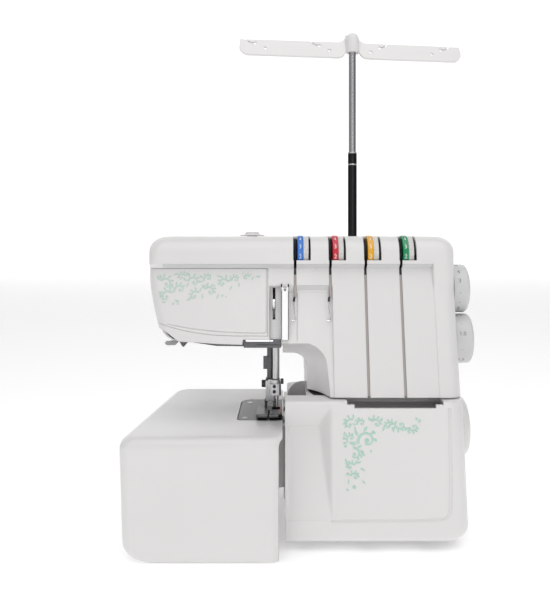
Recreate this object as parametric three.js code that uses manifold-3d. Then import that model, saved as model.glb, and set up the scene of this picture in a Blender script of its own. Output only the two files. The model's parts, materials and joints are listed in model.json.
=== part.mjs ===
// A four-thread overlock sewing machine (serger) as an assembly of separate solids, in millimetres, +Z up.
// Design frame: X = 0 is the knife line at the right edge of the bed, Y = 0 the front of the looper cover,
// Z = 0 the surface that the machine stands on. The exported group is shifted so that its origin is the
// centre of the whole machine's footprint.
import * as THREE from "three";
import { mergeVertices } from "three/addons/utils/BufferGeometryUtils.js";
import Module from "manifold-3d";

const wasm = await Module();
wasm.setup();

// ---------------------------------------------------------------- driving dimensions
const CENTRE_X = 33.7; // middle of the footprint in the design frame
const CENTRE_Y = 113;
const WALL = 2.5; // casing thickness
const GAP = 0.3; // clearance between pieces that touch
const SEAM = 0.6; // visible gap between two casings

const BED_TOP = 98;
const BASE_TOP = 122;
const BASE_BOTTOM = 9;
const BODY_FOOT = 124; // lower edge of the upper casing
const BODY_TOP = 257;
const BODY_LEFT = -118.5;
const BODY_RIGHT = 147;
const BODY_BACK = 150;
const SPLIT_Y = 85; // parting line of the front and the rear casing
const FACE_FOOT_Y = 7.5; // front of the tension panel at its lower edge
const FACE_SLOPE = 0.264; // how far the front leans back per mm of height
const LEDGE_Z = 233; // where the top band overhangs the sloping front
const BAND_Y = 30; // front of the top band
const BAND_RADIUS = 17;
const SIDE_RADIUS = 13;

const HEAD_BOTTOM = 165;
const ARM_BOTTOM = 156;
const COLUMN_LEFT = 19;
const PANEL_LEFT = 40.7; // left edge of the tension panel
const RECESS_LEFT = -13.5; // recess for the needle threads
const RECESS_TOP = 215.3;
const RECESS_LIP = 208.5; // where the sloping upper edge of the recess meets its floor
const COVE = { width: 19.5, front: 3, depth: 38, power: 1.43, spring: 150, roof: 19 };

const NEEDLE = { x: -8, y: 64 };
const PRESSER = { x: -13.4, y: 78 };
const FOOT_PIN = { y: 76, z: 106 };
const SHAFT = { y: 75, z: 83 }; // main shaft, which the handwheel turns
const POLE = { x: 74.4, y: 205 };
const HINGE = { y: 11, z: 10.5 }; // pin of the looper cover

const DIAL_X = [10.7, 41, 71.3, 101.6]; // left face of each tension dial
const DIAL_WIDTH = 9.7;
const DIAL_AXIS = { y: 48.8, z: 241.3 };
const DIAL_RADIUS = 16.5;

const MATERIALS = {
  white_plastic: { color: 0xe9e7e6, roughness: 0.35, metalness: 0 },
  grey_plastic: { color: 0x9c9a9b, roughness: 0.5, metalness: 0 },
  black_plastic: { color: 0x1c1b1d, roughness: 0.45, metalness: 0 },
  clear_plastic: { color: 0xf4f6f8, roughness: 0.2, metalness: 0 },
  blue_plastic: { color: 0x1278c8, roughness: 0.35, metalness: 0 },
  red_plastic: { color: 0xcf2338, roughness: 0.35, metalness: 0 },
  yellow_plastic: { color: 0xe9a51e, roughness: 0.35, metalness: 0 },
  green_plastic: { color: 0x0e8a4d, roughness: 0.35, metalness: 0 },
  chrome: { color: 0xd6d8db, roughness: 0.12, metalness: 1 },
  steel: { color: 0xa7a9ac, roughness: 0.3, metalness: 1 },
  dark_steel: { color: 0x56565a, roughness: 0.38, metalness: 1 },
  cast_metal: { color: 0x8d9094, roughness: 0.6, metalness: 1 },
  rubber: { color: 0x2b2b2d, roughness: 0.9, metalness: 0 },
};

// ---------------------------------------------------------------- from geometry to solid and back
function solid(geometry) {
  const bare = geometry.clone();
  bare.deleteAttribute("normal");
  bare.deleteAttribute("uv");
  const merged = mergeVertices(bare, 1e-4);
  const triangles = [];
  const index = merged.index.array;
  for (let i = 0; i < index.length; i += 3) {
    const [a, b, c] = [index[i], index[i + 1], index[i + 2]];
    if (a !== b && b !== c && a !== c) triangles.push(a, b, c);
  }
  return new wasm.Manifold(
    new wasm.Mesh({
      numProp: 3,
      vertProperties: merged.attributes.position.array,
      triVerts: new Uint32Array(triangles),
    }),
  );
}

const joined = (first, ...others) => others.reduce((all, next) => all.add(next), first);
const cut = (first, ...others) => others.reduce((all, next) => all.subtract(next), first);

function geometryOf(body) {
  const mesh = body.getMesh();
  const geometry = new THREE.BufferGeometry();
  geometry.setAttribute("position", new THREE.BufferAttribute(mesh.vertProperties, 3));
  geometry.setIndex(new THREE.BufferAttribute(mesh.triVerts, 1));
  geometry.computeVertexNormals();
  return geometry;
}

// ---------------------------------------------------------------- shapes
const AXES = {
  // A shape's own x, y and depth, laid along the part's axes.
  x: new THREE.Matrix4().makeBasis(
    new THREE.Vector3(0, 1, 0), new THREE.Vector3(0, 0, 1), new THREE.Vector3(1, 0, 0)),
  y: new THREE.Matrix4().makeBasis(
    new THREE.Vector3(1, 0, 0), new THREE.Vector3(0, 0, 1), new THREE.Vector3(0, -1, 0)),
  z: new THREE.Matrix4(),
};

// A prism of a shape along an axis. The shape's plane is YZ for x, XZ for y and XY for z.
function prism(axis, shape, from, to, curveSegments = 6) {
  const geometry = new THREE.ExtrudeGeometry(shape, { depth: to - from, bevelEnabled: false, curveSegments });
  geometry.translate(0, 0, axis === "y" ? -to : from);
  geometry.applyMatrix4(AXES[axis]);
  return solid(geometry);
}

const polygon = (...points) => new THREE.Shape(points.map(([a, b]) => new THREE.Vector2(a, b)));

function roundedRect(a0, a1, b0, b1, r) {
  const shape = new THREE.Shape();
  shape.moveTo(a0 + r, b0);
  shape.lineTo(a1 - r, b0);
  shape.absarc(a1 - r, b0 + r, r, -Math.PI / 2, 0);
  shape.lineTo(a1, b1 - r);
  shape.absarc(a1 - r, b1 - r, r, 0, Math.PI / 2);
  shape.lineTo(a0 + r, b1);
  shape.absarc(a0 + r, b1 - r, r, Math.PI / 2, Math.PI);
  shape.lineTo(a0, b0 + r);
  shape.absarc(a0 + r, b0 + r, r, Math.PI, 1.5 * Math.PI);
  return shape;
}

function box(x0, x1, y0, y1, z0, z1) {
  const geometry = new THREE.BoxGeometry(x1 - x0, y1 - y0, z1 - z0);
  geometry.translate((x0 + x1) / 2, (y0 + y1) / 2, (z0 + z1) / 2);
  return solid(geometry);
}

// A round bar along an axis; a and b are its centre in the other two directions, in X, Y, Z order.
function rod(axis, a, b, radius, from, to, sides = 20) {
  const geometry = new THREE.CylinderGeometry(radius, radius, to - from, sides);
  if (axis === "x") geometry.rotateZ(Math.PI / 2).translate((from + to) / 2, a, b);
  if (axis === "y") geometry.translate(a, (from + to) / 2, b);
  if (axis === "z") geometry.rotateX(Math.PI / 2).translate(a, b, (from + to) / 2);
  return solid(geometry);
}

// A turned piece: the profile lists radius and place along the axis, in rising order, and closes on the axis.
function turned(axis, a, b, profile, sides = 24) {
  const closed = [[0, profile[0][1]], ...profile, [0, profile.at(-1)[1]]];
  const geometry = new THREE.LatheGeometry(closed.map(([r, h]) => new THREE.Vector2(r, h)), sides);
  if (axis === "x") geometry.rotateZ(-Math.PI / 2).translate(0, a, b);
  if (axis === "y") geometry.translate(a, 0, b);
  if (axis === "z") geometry.rotateX(Math.PI / 2).translate(a, b, 0);
  return solid(geometry);
}

// A closed skin over rings of points that all have the same count, capped at both ends.
function loft(rings) {
  const count = rings[0].length;
  const positions = rings.flat().flatMap((p) => [p.x, p.y, p.z]);
  const index = [];
  for (let k = 0; k + 1 < rings.length; k++)
    for (let i = 0; i < count; i++) {
      const j = (i + 1) % count;
      const [a, b, c, d] = [k * count + i, k * count + j, (k + 1) * count + j, (k + 1) * count + i];
      index.push(a, b, c, a, c, d);
    }
  const last = (rings.length - 1) * count;
  for (let i = 1; i + 1 < count; i++) {
    index.push(0, i + 1, i);
    index.push(last, last + i, last + i + 1);
  }
  const geometry = new THREE.BufferGeometry();
  geometry.setAttribute("position", new THREE.Float32BufferAttribute(positions, 3));
  geometry.setIndex(index);
  return solid(geometry);
}

// One level of a casing: a rectangle at height z with its own radius at the front and at the back corners.
function level(z, x0, x1, y0, y1, front, back = front, steps = 4) {
  const corners = [
    [x0 + front, y0 + front, front, Math.PI],
    [x1 - front, y0 + front, front, 1.5 * Math.PI],
    [x1 - back, y1 - back, back, 0],
    [x0 + back, y1 - back, back, 0.5 * Math.PI],
  ];
  return corners.flatMap(([cx, cy, r, start]) =>
    Array.from({ length: steps + 1 }, (_, i) => {
      const angle = start + (i / steps) * (Math.PI / 2);
      return new THREE.Vector3(cx + r * Math.cos(angle), cy + r * Math.sin(angle), z);
    }),
  );
}

// How far a rounded edge of that radius has drawn in at height z under a top.
const drawnIn = (z, top, radius) =>
  z > top - radius ? radius - Math.sqrt(Math.max(0, radius ** 2 - (z - top + radius) ** 2)) : 0;

// ---------------------------------------------------------------- the assembly
const machine = new THREE.Group();
machine.position.set(-CENTRE_X, -CENTRE_Y, 0);

function add(name, slot, body, parent = machine) {
  const mesh = new THREE.Mesh(geometryOf(body), new THREE.MeshStandardMaterial({ ...MATERIALS[slot] }));
  mesh.name = name;
  parent.add(mesh);
  return mesh;
}

// ---------------------------------------------------------------- upper casing: head, arm and column
const frontY = (z) => FACE_FOOT_Y + (z - BODY_FOOT) * FACE_SLOPE;
const headLeft = (z) => {
  const lean = z < 225 ? 8.5 * ((225 - z) / 41) ** 1.5 : 0;
  const drop = Math.max(0, 177.5 - z);
  return BODY_LEFT + lean + 12 - Math.sqrt(Math.max(0, 144 - Math.min(12, drop) ** 2));
};

// The whole outside of the upper casing, drawn in by `inset` all round, before the throat is cut out of it.
function bodyEnvelope(inset) {
  const top = BODY_TOP - inset;
  const plain = [BODY_FOOT - (inset ? 5 : 0), 150, 165.5, 167, 170, 175, 184, 198, 212, 225, LEDGE_Z - 2.5];
  const band = [LEDGE_Z + 1.5, BODY_TOP - BAND_RADIUS];
  const crown = [0.3, 0.55, 0.78, 0.93, 1].map((s) => top - BAND_RADIUS + BAND_RADIUS * s);
  const rings = [...plain, ...band, ...crown].map((z) => {
    const side = drawnIn(z, top, SIDE_RADIUS) + inset;
    const over = z > LEDGE_Z ? BAND_Y + drawnIn(z, top, BAND_RADIUS) : frontY(z);
    return level(z, headLeft(z) + side, BODY_RIGHT - side, over + inset,
      BODY_BACK - side, 12 - inset, 10 - inset);
  });
  return loft(rings);
}

// The free space under the head and left of the column, grown by `grow` into the casing.
function throat(grow) {
  const r = 13;
  const [left, arm, head] = [COLUMN_LEFT + grow, ARM_BOTTOM + grow, HEAD_BOTTOM + grow];
  const shape = new THREE.Shape();
  shape.moveTo(-140, 100);
  shape.lineTo(left, 100);
  shape.lineTo(left, arm - r);
  shape.absarc(left - r, arm - r, r, 0, Math.PI / 2);
  shape.lineTo(-2 - grow, arm);
  shape.lineTo(-2 - grow, head);
  shape.lineTo(-140, head);
  return prism("y", shape, -20, 170);
}

// The column's front left corner, which sweeps back in a cove whose roof rounds forward under the arm.
function cove(grow) {
  const rings = [100, COVE.spring, 156, 160, 163, 165.5, 167.3, 168.6].map((height) => {
    const above = Math.max(0, height - COVE.spring) / COVE.roof;
    const reach = Math.sqrt(1 - above ** 2);
    const [width, depth] = [COVE.width * reach, COVE.depth * reach + grow];
    const left = COLUMN_LEFT + grow;
    const z = height + (above > 0 ? grow : 0);
    const sweep = Array.from({ length: 9 }, (_, i) => {
      const turn = (i / 8) * (Math.PI / 2);
      return new THREE.Vector3(left + width * Math.max(0, Math.cos(turn)) ** COVE.power,
        COVE.front + depth * Math.sin(turn) ** COVE.power, z);
    });
    return [new THREE.Vector3(-2, -20, z), new THREE.Vector3(left + width, -20, z), ...sweep,
      new THREE.Vector3(-2, COVE.front + depth, z)];
  });
  return loft(rings);
}

// The recess of the needle threads: a shallow step that deepens upwards and ends in a sloping upper edge.
const recessFloor = (z) => frontY(z) + 1 + (3.5 * (z - BODY_FOOT)) / (RECESS_LIP - BODY_FOOT);
function threadRecess(grow) {
  const [foot, lip] = [recessFloor(100) + grow, recessFloor(RECESS_LIP) + grow];
  const shape = polygon([-20, 100], [foot, 100], [lip, RECESS_LIP],
    [frontY(RECESS_TOP), RECESS_TOP + grow], [-20, RECESS_TOP + grow]);
  return prism("x", shape, RECESS_LEFT - grow, PANEL_LEFT + grow);
}

const hollow = cut(bodyEnvelope(WALL), throat(WALL), cove(WALL), threadRecess(WALL));
let casing = cut(bodyEnvelope(0), throat(0), cove(0), threadRecess(0), hollow);

// Openings: the dials and their thread slots, the take-up slot and the underside of the head.
const windows = DIAL_X.flatMap((x) => [
  box(x - 3.6, x + DIAL_WIDTH + 1.6, 10, DIAL_AXIS.y + DIAL_RADIUS + 1, 236.5, 262),
  rod("x", DIAL_AXIS.y, DIAL_AXIS.z, DIAL_RADIUS + 0.5, x - 0.3, x + DIAL_WIDTH + 0.3, 28),
]);
const slots = DIAL_X.map((x, i) => box(x - 3.1, x - 0.9, -10, i < 2 ? 39 : 60, i < 2 ? 205 : 110, 236));
const takeUpSlot = box(-12.5, -3.2, 10, 42, 150, 214);
const headOpening = box(-84, -4, 44, 112, 155, 172);
casing = cut(casing, ...windows, ...slots, takeUpSlot, headOpening);

// The face cover is the casing's left front part, bounded below by a curved seam.
function faceRegion(grow) {
  const shape = new THREE.Shape();
  shape.moveTo(-130, 184 - grow);
  shape.lineTo(-107, 183.3 - grow);
  shape.quadraticCurveTo(-70, 175.5 - grow, -14.8 + grow, 173 - grow);
  shape.lineTo(-14.8 + grow, 227.5 + grow);
  shape.lineTo(-130, 227.5 + grow);
  return prism("y", shape, -20, 81 + grow);
}
const faceCover = casing.intersect(faceRegion(0)).intersect(box(-130, 0, -20, 81, 100, 260));
casing = casing.subtract(faceRegion(SEAM));

const lifterSlot = box(-37, -19, 140, 160, 150, 196);
const dialHoles = joined(rod("x", 65, 210, 5, 130, 160), rod("x", 57.5, 166, 5, 130, 160));
const pressureHole = rod("z", -30, 72, 5.4, 240, 270);
const bracketHoles = joined(box(34, 42, 140, 160, 149, 159), box(106, 114, 140, 160, 149, 159));
casing = cut(casing, dialHoles, pressureHole, lifterSlot, bracketHoles);
add("front_cover", "white_plastic", casing.intersect(box(-200, 200, -50, SPLIT_Y - SEAM / 2, 0, 300)));
add("rear_cover", "white_plastic", casing.intersect(box(-200, 200, SPLIT_Y + SEAM / 2, 300, 0, 300)));
add("face_cover", "white_plastic", faceCover);

// ---------------------------------------------------------------- base, feet and bed
function baseEnvelope(inset) {
  const rings = [BASE_BOTTOM - (inset ? 3 : 0), 14, BASE_TOP - inset].map((z) =>
    level(z, 2 + inset, 148.5 - inset, 23.2 + inset, BODY_BACK - inset, 2, 10 - inset));
  const front = new THREE.Shape();
  const [left, top, r] = [2 + inset, BASE_TOP - inset, 14];
  front.moveTo(left, 0);
  front.lineTo(150, 0);
  front.lineTo(150, top);
  front.lineTo(left + r, top);
  front.absarc(left + r, top - r, r, Math.PI / 2, Math.PI);
  return loft(rings).intersect(prism("y", front, 0, 160));
}
const chamberWall = box(32, 147, 44.5, 46.5, 10, 121); // parts the looper chamber from the motor
const baseHousing = cut(
  joined(cut(baseEnvelope(0), baseEnvelope(WALL)), chamberWall),
  box(-5, 140, 20, 30, 0, 117), // mouth of the looper chamber
  box(-5, 18, 20, 82, 97, 130), // room for the knives, right of the needle plate
  box(-5, 10, 20, 118, 0, 97), // passage into the free arm
  box(52, 126, 40, 140, 115, 130), // passage into the column
  rod("x", SHAFT.y, SHAFT.z, 9, 130, 160),
  box(140, 155, 114, 137, 24, 44), // power inlet
  box(140, 155, 118, 133, 51.5, 64.5), // power switch
);
add("base_housing", "white_plastic", baseHousing);

const LUGS = [20, 70, 120];
// The pan closes the base from below; the looper cover's hinge rod slides in its front lugs.
add("base_pan", "grey_plastic", joined(
  prism("z", roundedRect(5, 145.5, 27, 147, 8), 6, BASE_BOTTOM - GAP),
  ...LUGS.map((x) => box(x, x + 5, HINGE.y - 3.5, 32, 6, HINGE.z + 3.5)),
).subtract(rod("x", HINGE.y, HINGE.z, 2.3, 0, 145, 16)));

const FEET = { front_left: [16, 38], front_right: [134, 38], rear_left: [16, 136], rear_right: [134, 136] };
for (const [place, [x, y]] of Object.entries(FEET))
  add(`foot_${place}`, "rubber", turned("z", x, y, [[7.5, 0], [8.5, 1.2], [8.5, 5.7]], 14));

function freeArm(inset) {
  const levels = [42 + inset, 94.6 - inset].map((z) =>
    level(z, -92 + inset, 1.4 + (inset ? 5 : 0), 30 + inset, 117.5 - inset, 6 - inset, 6 - inset));
  return loft(levels);
}
add("free_arm_cover", "white_plastic", cut(freeArm(0), freeArm(WALL), box(-36, 5, 42, 96, 88, 100)));

// The needle plate, with slots for both feed dogs and a slot for the needles.
const PLATE = { left: -41, right: -1.6, front: 37, back: 112, bottom: 95 };
function plateOutline(grow) {
  const shape = new THREE.Shape();
  const { left, right, front, back } = PLATE;
  shape.moveTo(left - grow + 4, front - grow);
  shape.lineTo(right + grow, front - grow);
  shape.lineTo(right + grow, back + grow);
  shape.lineTo(left - grow + 12, back + grow);
  shape.absarc(left - grow + 12, back + grow - 12, 12, Math.PI / 2, Math.PI);
  shape.lineTo(left - grow, front - grow + 4);
  shape.absarc(left - grow + 4, front - grow + 4, 4, Math.PI, 1.5 * Math.PI);
  return shape;
}
const SCREWS = [[-35, 44], [-33, 100]];
add("needle_plate", "dark_steel", cut(
  prism("z", plateOutline(0), PLATE.bottom, BED_TOP),
  box(-22.4, -13.6, 41, 93, 90, 100),
  box(-11.4, -4.4, 60, 68, 90, 100),
  ...SCREWS.map(([x, y]) => rod("z", x, y, 2.6, 96.6, 100, 16)),
));

add("lower_knife", "steel", cut(box(-1.2, 0.8, 42, 68, 80, 97.6), box(-2, 0.2, 50, 66, 97.6, 99)));

// ---------------------------------------------------------------- looper cover, hinged at its foot
const COVER = { left: 0, top: 122.7, bottom: 8.7, back: 22.6 };
const coverRight = (z) => 146 + (COVER.top - z) * 0.04;
function coverEnvelope(inset) {
  const foot = [0, 0.12, 0.4, 1].map((s) => COVER.bottom + inset + 11 * s);
  const rings = [...foot, 60, COVER.top - inset].map((z) => {
    const under = drawnIn(COVER.bottom + inset + 11 - z, 11, 11);
    return level(z, COVER.left - (inset ? 5 : 0), coverRight(z) - inset - 0.5 * under, inset + 0.5 * under,
      COVER.back + (inset ? 10 : 0), 0.6, 0.6);
  });
  const corner = prism("z", roundedRect(-20, coverRight(66) - inset, inset, 60, 13 - inset), 0, 200);
  return loft(rings).intersect(corner);
}
// A pull recess at the left: deep under its top edge, running out towards the foot.
function scoop(grow) {
  const depths = [[20, 0.2], [60, 7], [98, 12.5], [106, 12.5], [113, 9], [118, 0.4]];
  return loft(depths.map(([z, depth]) => {
    const high = z > 98 ? z + grow : z;
    const right = 36.5 + grow;
    const points = [[3 - grow, -8], [right + 2, -8], [right, 0.1], [right - 0.8 * depth, depth + grow],
      [4.5 - grow, depth + grow]];
    return points.map(([x, y]) => new THREE.Vector3(x, y, high));
  }));
}
const knuckles = [30, 80].map((x) => box(x, x + 28, 5, HINGE.y + 3.8, 9.5, HINGE.z + 4));
const looperCover = cut(
  joined(cut(coverEnvelope(0), scoop(0), cut(coverEnvelope(WALL), scoop(WALL))), ...knuckles),
  box(50.6, 129, -5, 40, 120, 130),
  box(56.5, 122.9, -5, 40, 117.1, 130),
  ...LUGS.map((x) => box(x - 7, x + 6, HINGE.y - 6.4, 40, 0, 13)),
  box(-5, 141, HINGE.y + 3.8, 40, 0, 13),
  rod("x", HINGE.y, HINGE.z, 2.3, 5, 139, 16),
);
add("looper_cover", "white_plastic", looperCover);
add("cover_hinge_rod", "steel", rod("x", HINGE.y, HINGE.z, 2, 6, 138, 16));

// ---------------------------------------------------------------- frame, main shaft and motor
add("main_frame", "cast_metal", cut(
  joined(
    box(12, 136, 64, 140, 9, 20),
    box(60, 84, 64, 130, 19, 234),
    box(-96, 84, 96, 122, 214, 234),
    box(-30, 4, 54, 100, 216, 224),
    box(-30, 13, 98, 104, 176, 224),
    box(-30, 13, 54, 104, 174, 182),
    box(-88, 20, 96, 110, 60, 70),
    box(16, 24, 64, 110, 19, 110),
  ),
  rod("x", SHAFT.y, SHAFT.z, 6.3, -100, 160),
  rod("z", NEEDLE.x, NEEDLE.y, 3.3, 150, 240),
  rod("z", PRESSER.x, PRESSER.y, 3.55, 150, 240),
  box(-4.4, 14, 58, 97, 182.5, 226),
  box(40, 105, 95, 145, 20.3, 68), // room for the motor
));

const SHAFT_PULLEY = 26;
const MOTOR_PULLEY = 7;
const MOTOR = { y: 120, z: 44 };
add("main_shaft", "steel", joined(
  rod("x", SHAFT.y, SHAFT.z, 6, -78, 158),
  rod("x", SHAFT.y - 3, SHAFT.z, 9, 26, 36), // eccentric of the needle drive
  rod("x", SHAFT.y + 2, SHAFT.z, 8, -30, -22), // eccentric of the feed dogs
));
add("shaft_pulley", "black_plastic", turned("x", SHAFT.y, SHAFT.z,
  [[SHAFT_PULLEY + 1.5, 110], [SHAFT_PULLEY + 1.5, 111], [SHAFT_PULLEY, 111], [SHAFT_PULLEY, 119],
    [SHAFT_PULLEY + 1.5, 119], [SHAFT_PULLEY + 1.5, 120]],
).subtract(rod("x", SHAFT.y, SHAFT.z, 6.3, 100, 130)));
add("motor", "dark_steel", joined(
  turned("x", MOTOR.y, MOTOR.z, [[17, 44], [20, 47], [20, 98], [17, 101]], 24),
  box(50, 96, 106, 134, 20.3, 30),
));
add("motor_pulley", "black_plastic", turned("x", MOTOR.y, MOTOR.z,
  [[3, 101.5], [3, 110], [MOTOR_PULLEY + 1.2, 110], [MOTOR_PULLEY + 1.2, 111], [MOTOR_PULLEY, 111],
    [MOTOR_PULLEY, 119], [MOTOR_PULLEY + 1.2, 119], [MOTOR_PULLEY + 1.2, 120]], 14));

// A belt loop: the outer tangent outline of two circles, less the same outline drawn in.
function beltOutline(large, small) {
  const [dy, dz] = [MOTOR.y - SHAFT.y, MOTOR.z - SHAFT.z];
  const along = Math.atan2(dz, dy);
  const spread = Math.acos((large - small) / Math.hypot(dy, dz));
  const shape = new THREE.Shape();
  shape.absarc(SHAFT.y, SHAFT.z, large, along + spread, along - spread + 2 * Math.PI);
  shape.absarc(MOTOR.y, MOTOR.z, small, along - spread, along + spread);
  return shape;
}
add("drive_belt", "rubber", prism("x", beltOutline(SHAFT_PULLEY + 2, MOTOR_PULLEY + 2), 111.5, 118.5, 10)
  .subtract(prism("x", beltOutline(SHAFT_PULLEY + 0.4, MOTOR_PULLEY + 0.4), 110, 120, 10)));

add("handwheel", "white_plastic", cut(
  turned("x", SHAFT.y, SHAFT.z, [[26, 149.5], [27, 151], [27, 162], [25.5, 165], [21, 166.2]], 32),
  rod("x", SHAFT.y, SHAFT.z, 6.3, 140, 159),
));

// ---------------------------------------------------------------- needle bar, presser bar and their drive
add("needle_bar", "steel", joined(
  rod("z", NEEDLE.x, NEEDLE.y, 3, 128.1, 206),
  box(-13.2, -5, 58, 70, 184, 191),
));
const NEEDLES = { left: [-9.4, 64.6], right: [-6.6, 62.6] };
add("needle_clamp", "steel", cut(
  joined(
    prism("z", roundedRect(-13.2, -3.6, 57.5, 70.5, 2), 114.4, 127.8),
    rod("x", 64, 125, 2.4, -4, -1.4, 16),
    rod("y", -9.6, 123.4, 1.3, 56.4, 58, 12),
    rod("y", -9.6, 118.4, 1.3, 56.4, 58, 12),
  ),
  ...Object.values(NEEDLES).map(([x, y]) => rod("z", x, y, 1.2, 110, 124, 12)),
));
for (const [side, [x, y]] of Object.entries(NEEDLES))
  add(`needle_${side}`, "chrome", turned("z", x, y,
    [[0.1, 88.4], [0.5, 92], [0.5, 110], [0.95, 112], [0.95, 123.7]], 12));

const DRIVE = { y: 100 - 12, z: 204 };
add("needle_drive_shaft", "steel", joined(
  rod("x", DRIVE.y, DRIVE.z, 4, -4.2, 12.5),
  prism("x", polygon([DRIVE.y - 2, DRIVE.z + 5], [DRIVE.y + 2, DRIVE.z - 5], [DRIVE.y - 22, DRIVE.z - 19],
    [DRIVE.y - 26, DRIVE.z - 12]), -3.6, -0.6),
));

add("take_up_lever", "chrome", joined(
  rod("x", 70, 199, 3, -16.2, -13.6, 16),
  box(-16.2, -14.4, 51, 71, 197, 201),
  box(-16.2, -8.6, 51, 55, 197, 201),
  prism("x", polygon([55, 197], [55, 201], [41, 198], [31, 198.5], [26, 204], [23, 202.5],
    [27, 195], [40, 193.5]), -10.4, -8.6),
));
// A strip that leans with the front of the head, from `near` to `far` behind it.
const leaning = (x0, x1, near, far, low, high) => prism("x", polygon(
  [frontY(low) + near, low], [frontY(low) + far, low],
  [frontY(high) + far, high], [frontY(high) + near, high]), x0, x1);
const flange = (x0, x1) => prism("x", polygon([frontY(172) + 0.2, 172], [recessFloor(172) - GAP, 172],
  [recessFloor(208) - GAP, 208], [frontY(208) + 0.2, 208]), x0, x1);
add("take_up_guard", "chrome", joined(
  leaning(-3, 3, -0.8, 0.6, 170, 213),
  flange(-3, -1.6),
  flange(1.6, 3),
  leaning(-3, -1.4, -1.8, -0.5, 212.5, 216),
  leaning(1.4, 3, -1.8, -0.5, 212.5, 216),
));

add("presser_bar", "dark_steel", joined(
  rod("z", PRESSER.x, PRESSER.y, 3.25, 122.5, 229),
  box(-20, -12, 74.5, 81.5, 135, 146),
));
add("foot_holder", "steel", cut(
  joined(
    box(-17.8, -9.2, 72, 84, 108.6, 131),
    box(-15.5, -11.5, 73, 79, 103.4, 109),
    rod("x", 78, 125, 3.4, -21.6, -17, 16),
  ),
  rod("z", PRESSER.x, PRESSER.y, 3.55, 122, 140),
  rod("x", FOOT_PIN.y, FOOT_PIN.z, 1.4, -17, -10, 10),
));
add("presser_foot", "steel", cut(
  joined(
    prism("x", polygon([34, 103.6], [31.5, 101.4], [32.4, 100.6], [38, 99.2], [76, 99.2],
      [82, 100.1], [82, 101.6], [40, 101.6]), -25, -2.6),
    box(-18.6, -16.2, 72, 80, 101, 107.6),
    box(-10.8, -8.4, 72, 80, 101, 107.6),
    rod("x", FOOT_PIN.y, FOOT_PIN.z, 1, -18, -9, 10),
  ),
  box(-11.8, -4, 59, 69, 98, 104),
));

// The presser foot lifter behind the head.
add("presser_lifter", "grey_plastic", joined(
  rod("x", 134, 178, 4.5, -33, -23, 16),
  prism("x", polygon([132, 174.5], [136, 174], [168, 166], [169, 169.5], [136, 181.5]), -32, -24),
  prism("x", polygon([131, 175], [135, 182], [115, 192], [112, 185]), -32, -24), // arm that raises the bar
));

// ---------------------------------------------------------------- knives, loopers and feed dogs
add("upper_knife", "steel", joined(
  prism("x", polygon([46, 99.2], [66, 103], [66, 112], [50, 112]), -2.4, -1.4),
  box(-2.4, 8, 56, 66, 107, 111.5),
  box(3, 8, 56, 66, 66, 108),
));
add("upper_looper", "steel", prism("y",
  polygon([22, 34], [30, 34], [30, 44], [20, 70], [12, 84],
    [5, 91], [3.4, 90], [9, 80], [15, 64], [22, 44]), 44, 47.5));
add("lower_looper", "steel", prism("y",
  polygon([-46, 50], [-38, 50], [-37, 72], [-26, 84],
    [-14, 86.5], [-14, 88.5], [-29, 88.5], [-44, 76]), 50, 53.5));
const teeth = (front, back) => {
  const points = [[front, 91]];
  for (let y = front; y < back - 0.1; y += 2) points.push([y, 97.4], [y + 2, 98.8]);
  return polygon(...points, [back, 91]);
};
add("differential_feed_dog", "steel", prism("x", teeth(45, 61), -21.4, -14.6));
add("main_feed_dog", "steel", prism("x", teeth(66, 88), -21.4, -14.6));

// ---------------------------------------------------------------- tension dials and side dials
const COLOURS = ["blue", "red", "yellow", "green"];
DIAL_X.forEach((x, i) => {
  const dial = turned("x", DIAL_AXIS.y, DIAL_AXIS.z, [
    [DIAL_RADIUS, x], [DIAL_RADIUS, x + 5], [DIAL_RADIUS - 0.6, x + 5.2], [DIAL_RADIUS - 0.6, x + DIAL_WIDTH],
  ], 28);
  add(`tension_dial_${COLOURS[i]}`, `${COLOURS[i]}_plastic`, dial);
});

function sideDial(y, z, radius, end) {
  return turned("x", y, z,
    [[4.6, 138], [4.6, 148.2], [radius, 148.2], [radius, end - 2], [radius - 2, end]], 28);
}
add("stitch_length_dial", "white_plastic", sideDial(65, 210, 21.6, 162.8));
add("differential_dial", "white_plastic", sideDial(57.5, 166, 21.9, 164.2));
add("pressure_dial", "white_plastic", turned("z", -30, 72,
  [[4.8, 244], [4.8, 257.4], [11.4, 257.4], [11.4, 258.2], [6.2, 259], [5.6, 261.2]], 20));

// ---------------------------------------------------------------- fittings on the front and under the head
// A round wire along a path of points.
function wire(points, radius) {
  const places = points.map((p) => new THREE.Vector3(...p));
  const path = new THREE.CatmullRomCurve3(places, false, "catmullrom", 0.2);
  const circle = new THREE.Shape();
  circle.absarc(0, 0, radius, 0, 2 * Math.PI);
  const steps = 3 * points.length;
  return solid(new THREE.ExtrudeGeometry(circle, { steps, extrudePath: path, curveSegments: 3 }));
}
const hookWire = (x) => wire([[x, recessFloor(204) - GAP, 204], [x, 28.5, 204.4], [x - 0.6, 26.6, 199],
  [x + 1, 25.9, 187.5], [x - 0.6, 25.6, 184.6], [x - 3.4, 25.8, 185.6]], 0.6);
add("thread_guide_wire_left", "chrome", hookWire(8.1));
add("thread_guide_wire_right", "chrome", hookWire(37.8));
add("light_lens", "clear_plastic", box(-37, -14.2, 32, 43.4, 160.6, 164.4));
add("thread_cutter", "grey_plastic", prism("y",
  polygon([-101, 164.4], [-103, 161.4], [-92, 160.2], [-89, 163],
    [-86.5, 157.6], [-84, 158], [-80, 164.4]), 40, 43.4));
add("head_plate", "dark_steel", cut(
  prism("y", polygon([-80, 163.8], [-60, 160.6], [-3, 159.9],
    [-3, 163.4], [-12, 164.6], [-79, 164.6]), 44.6, 111)
    .subtract(box(-20, -2, 54, 90, 150, 170)),
));

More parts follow.
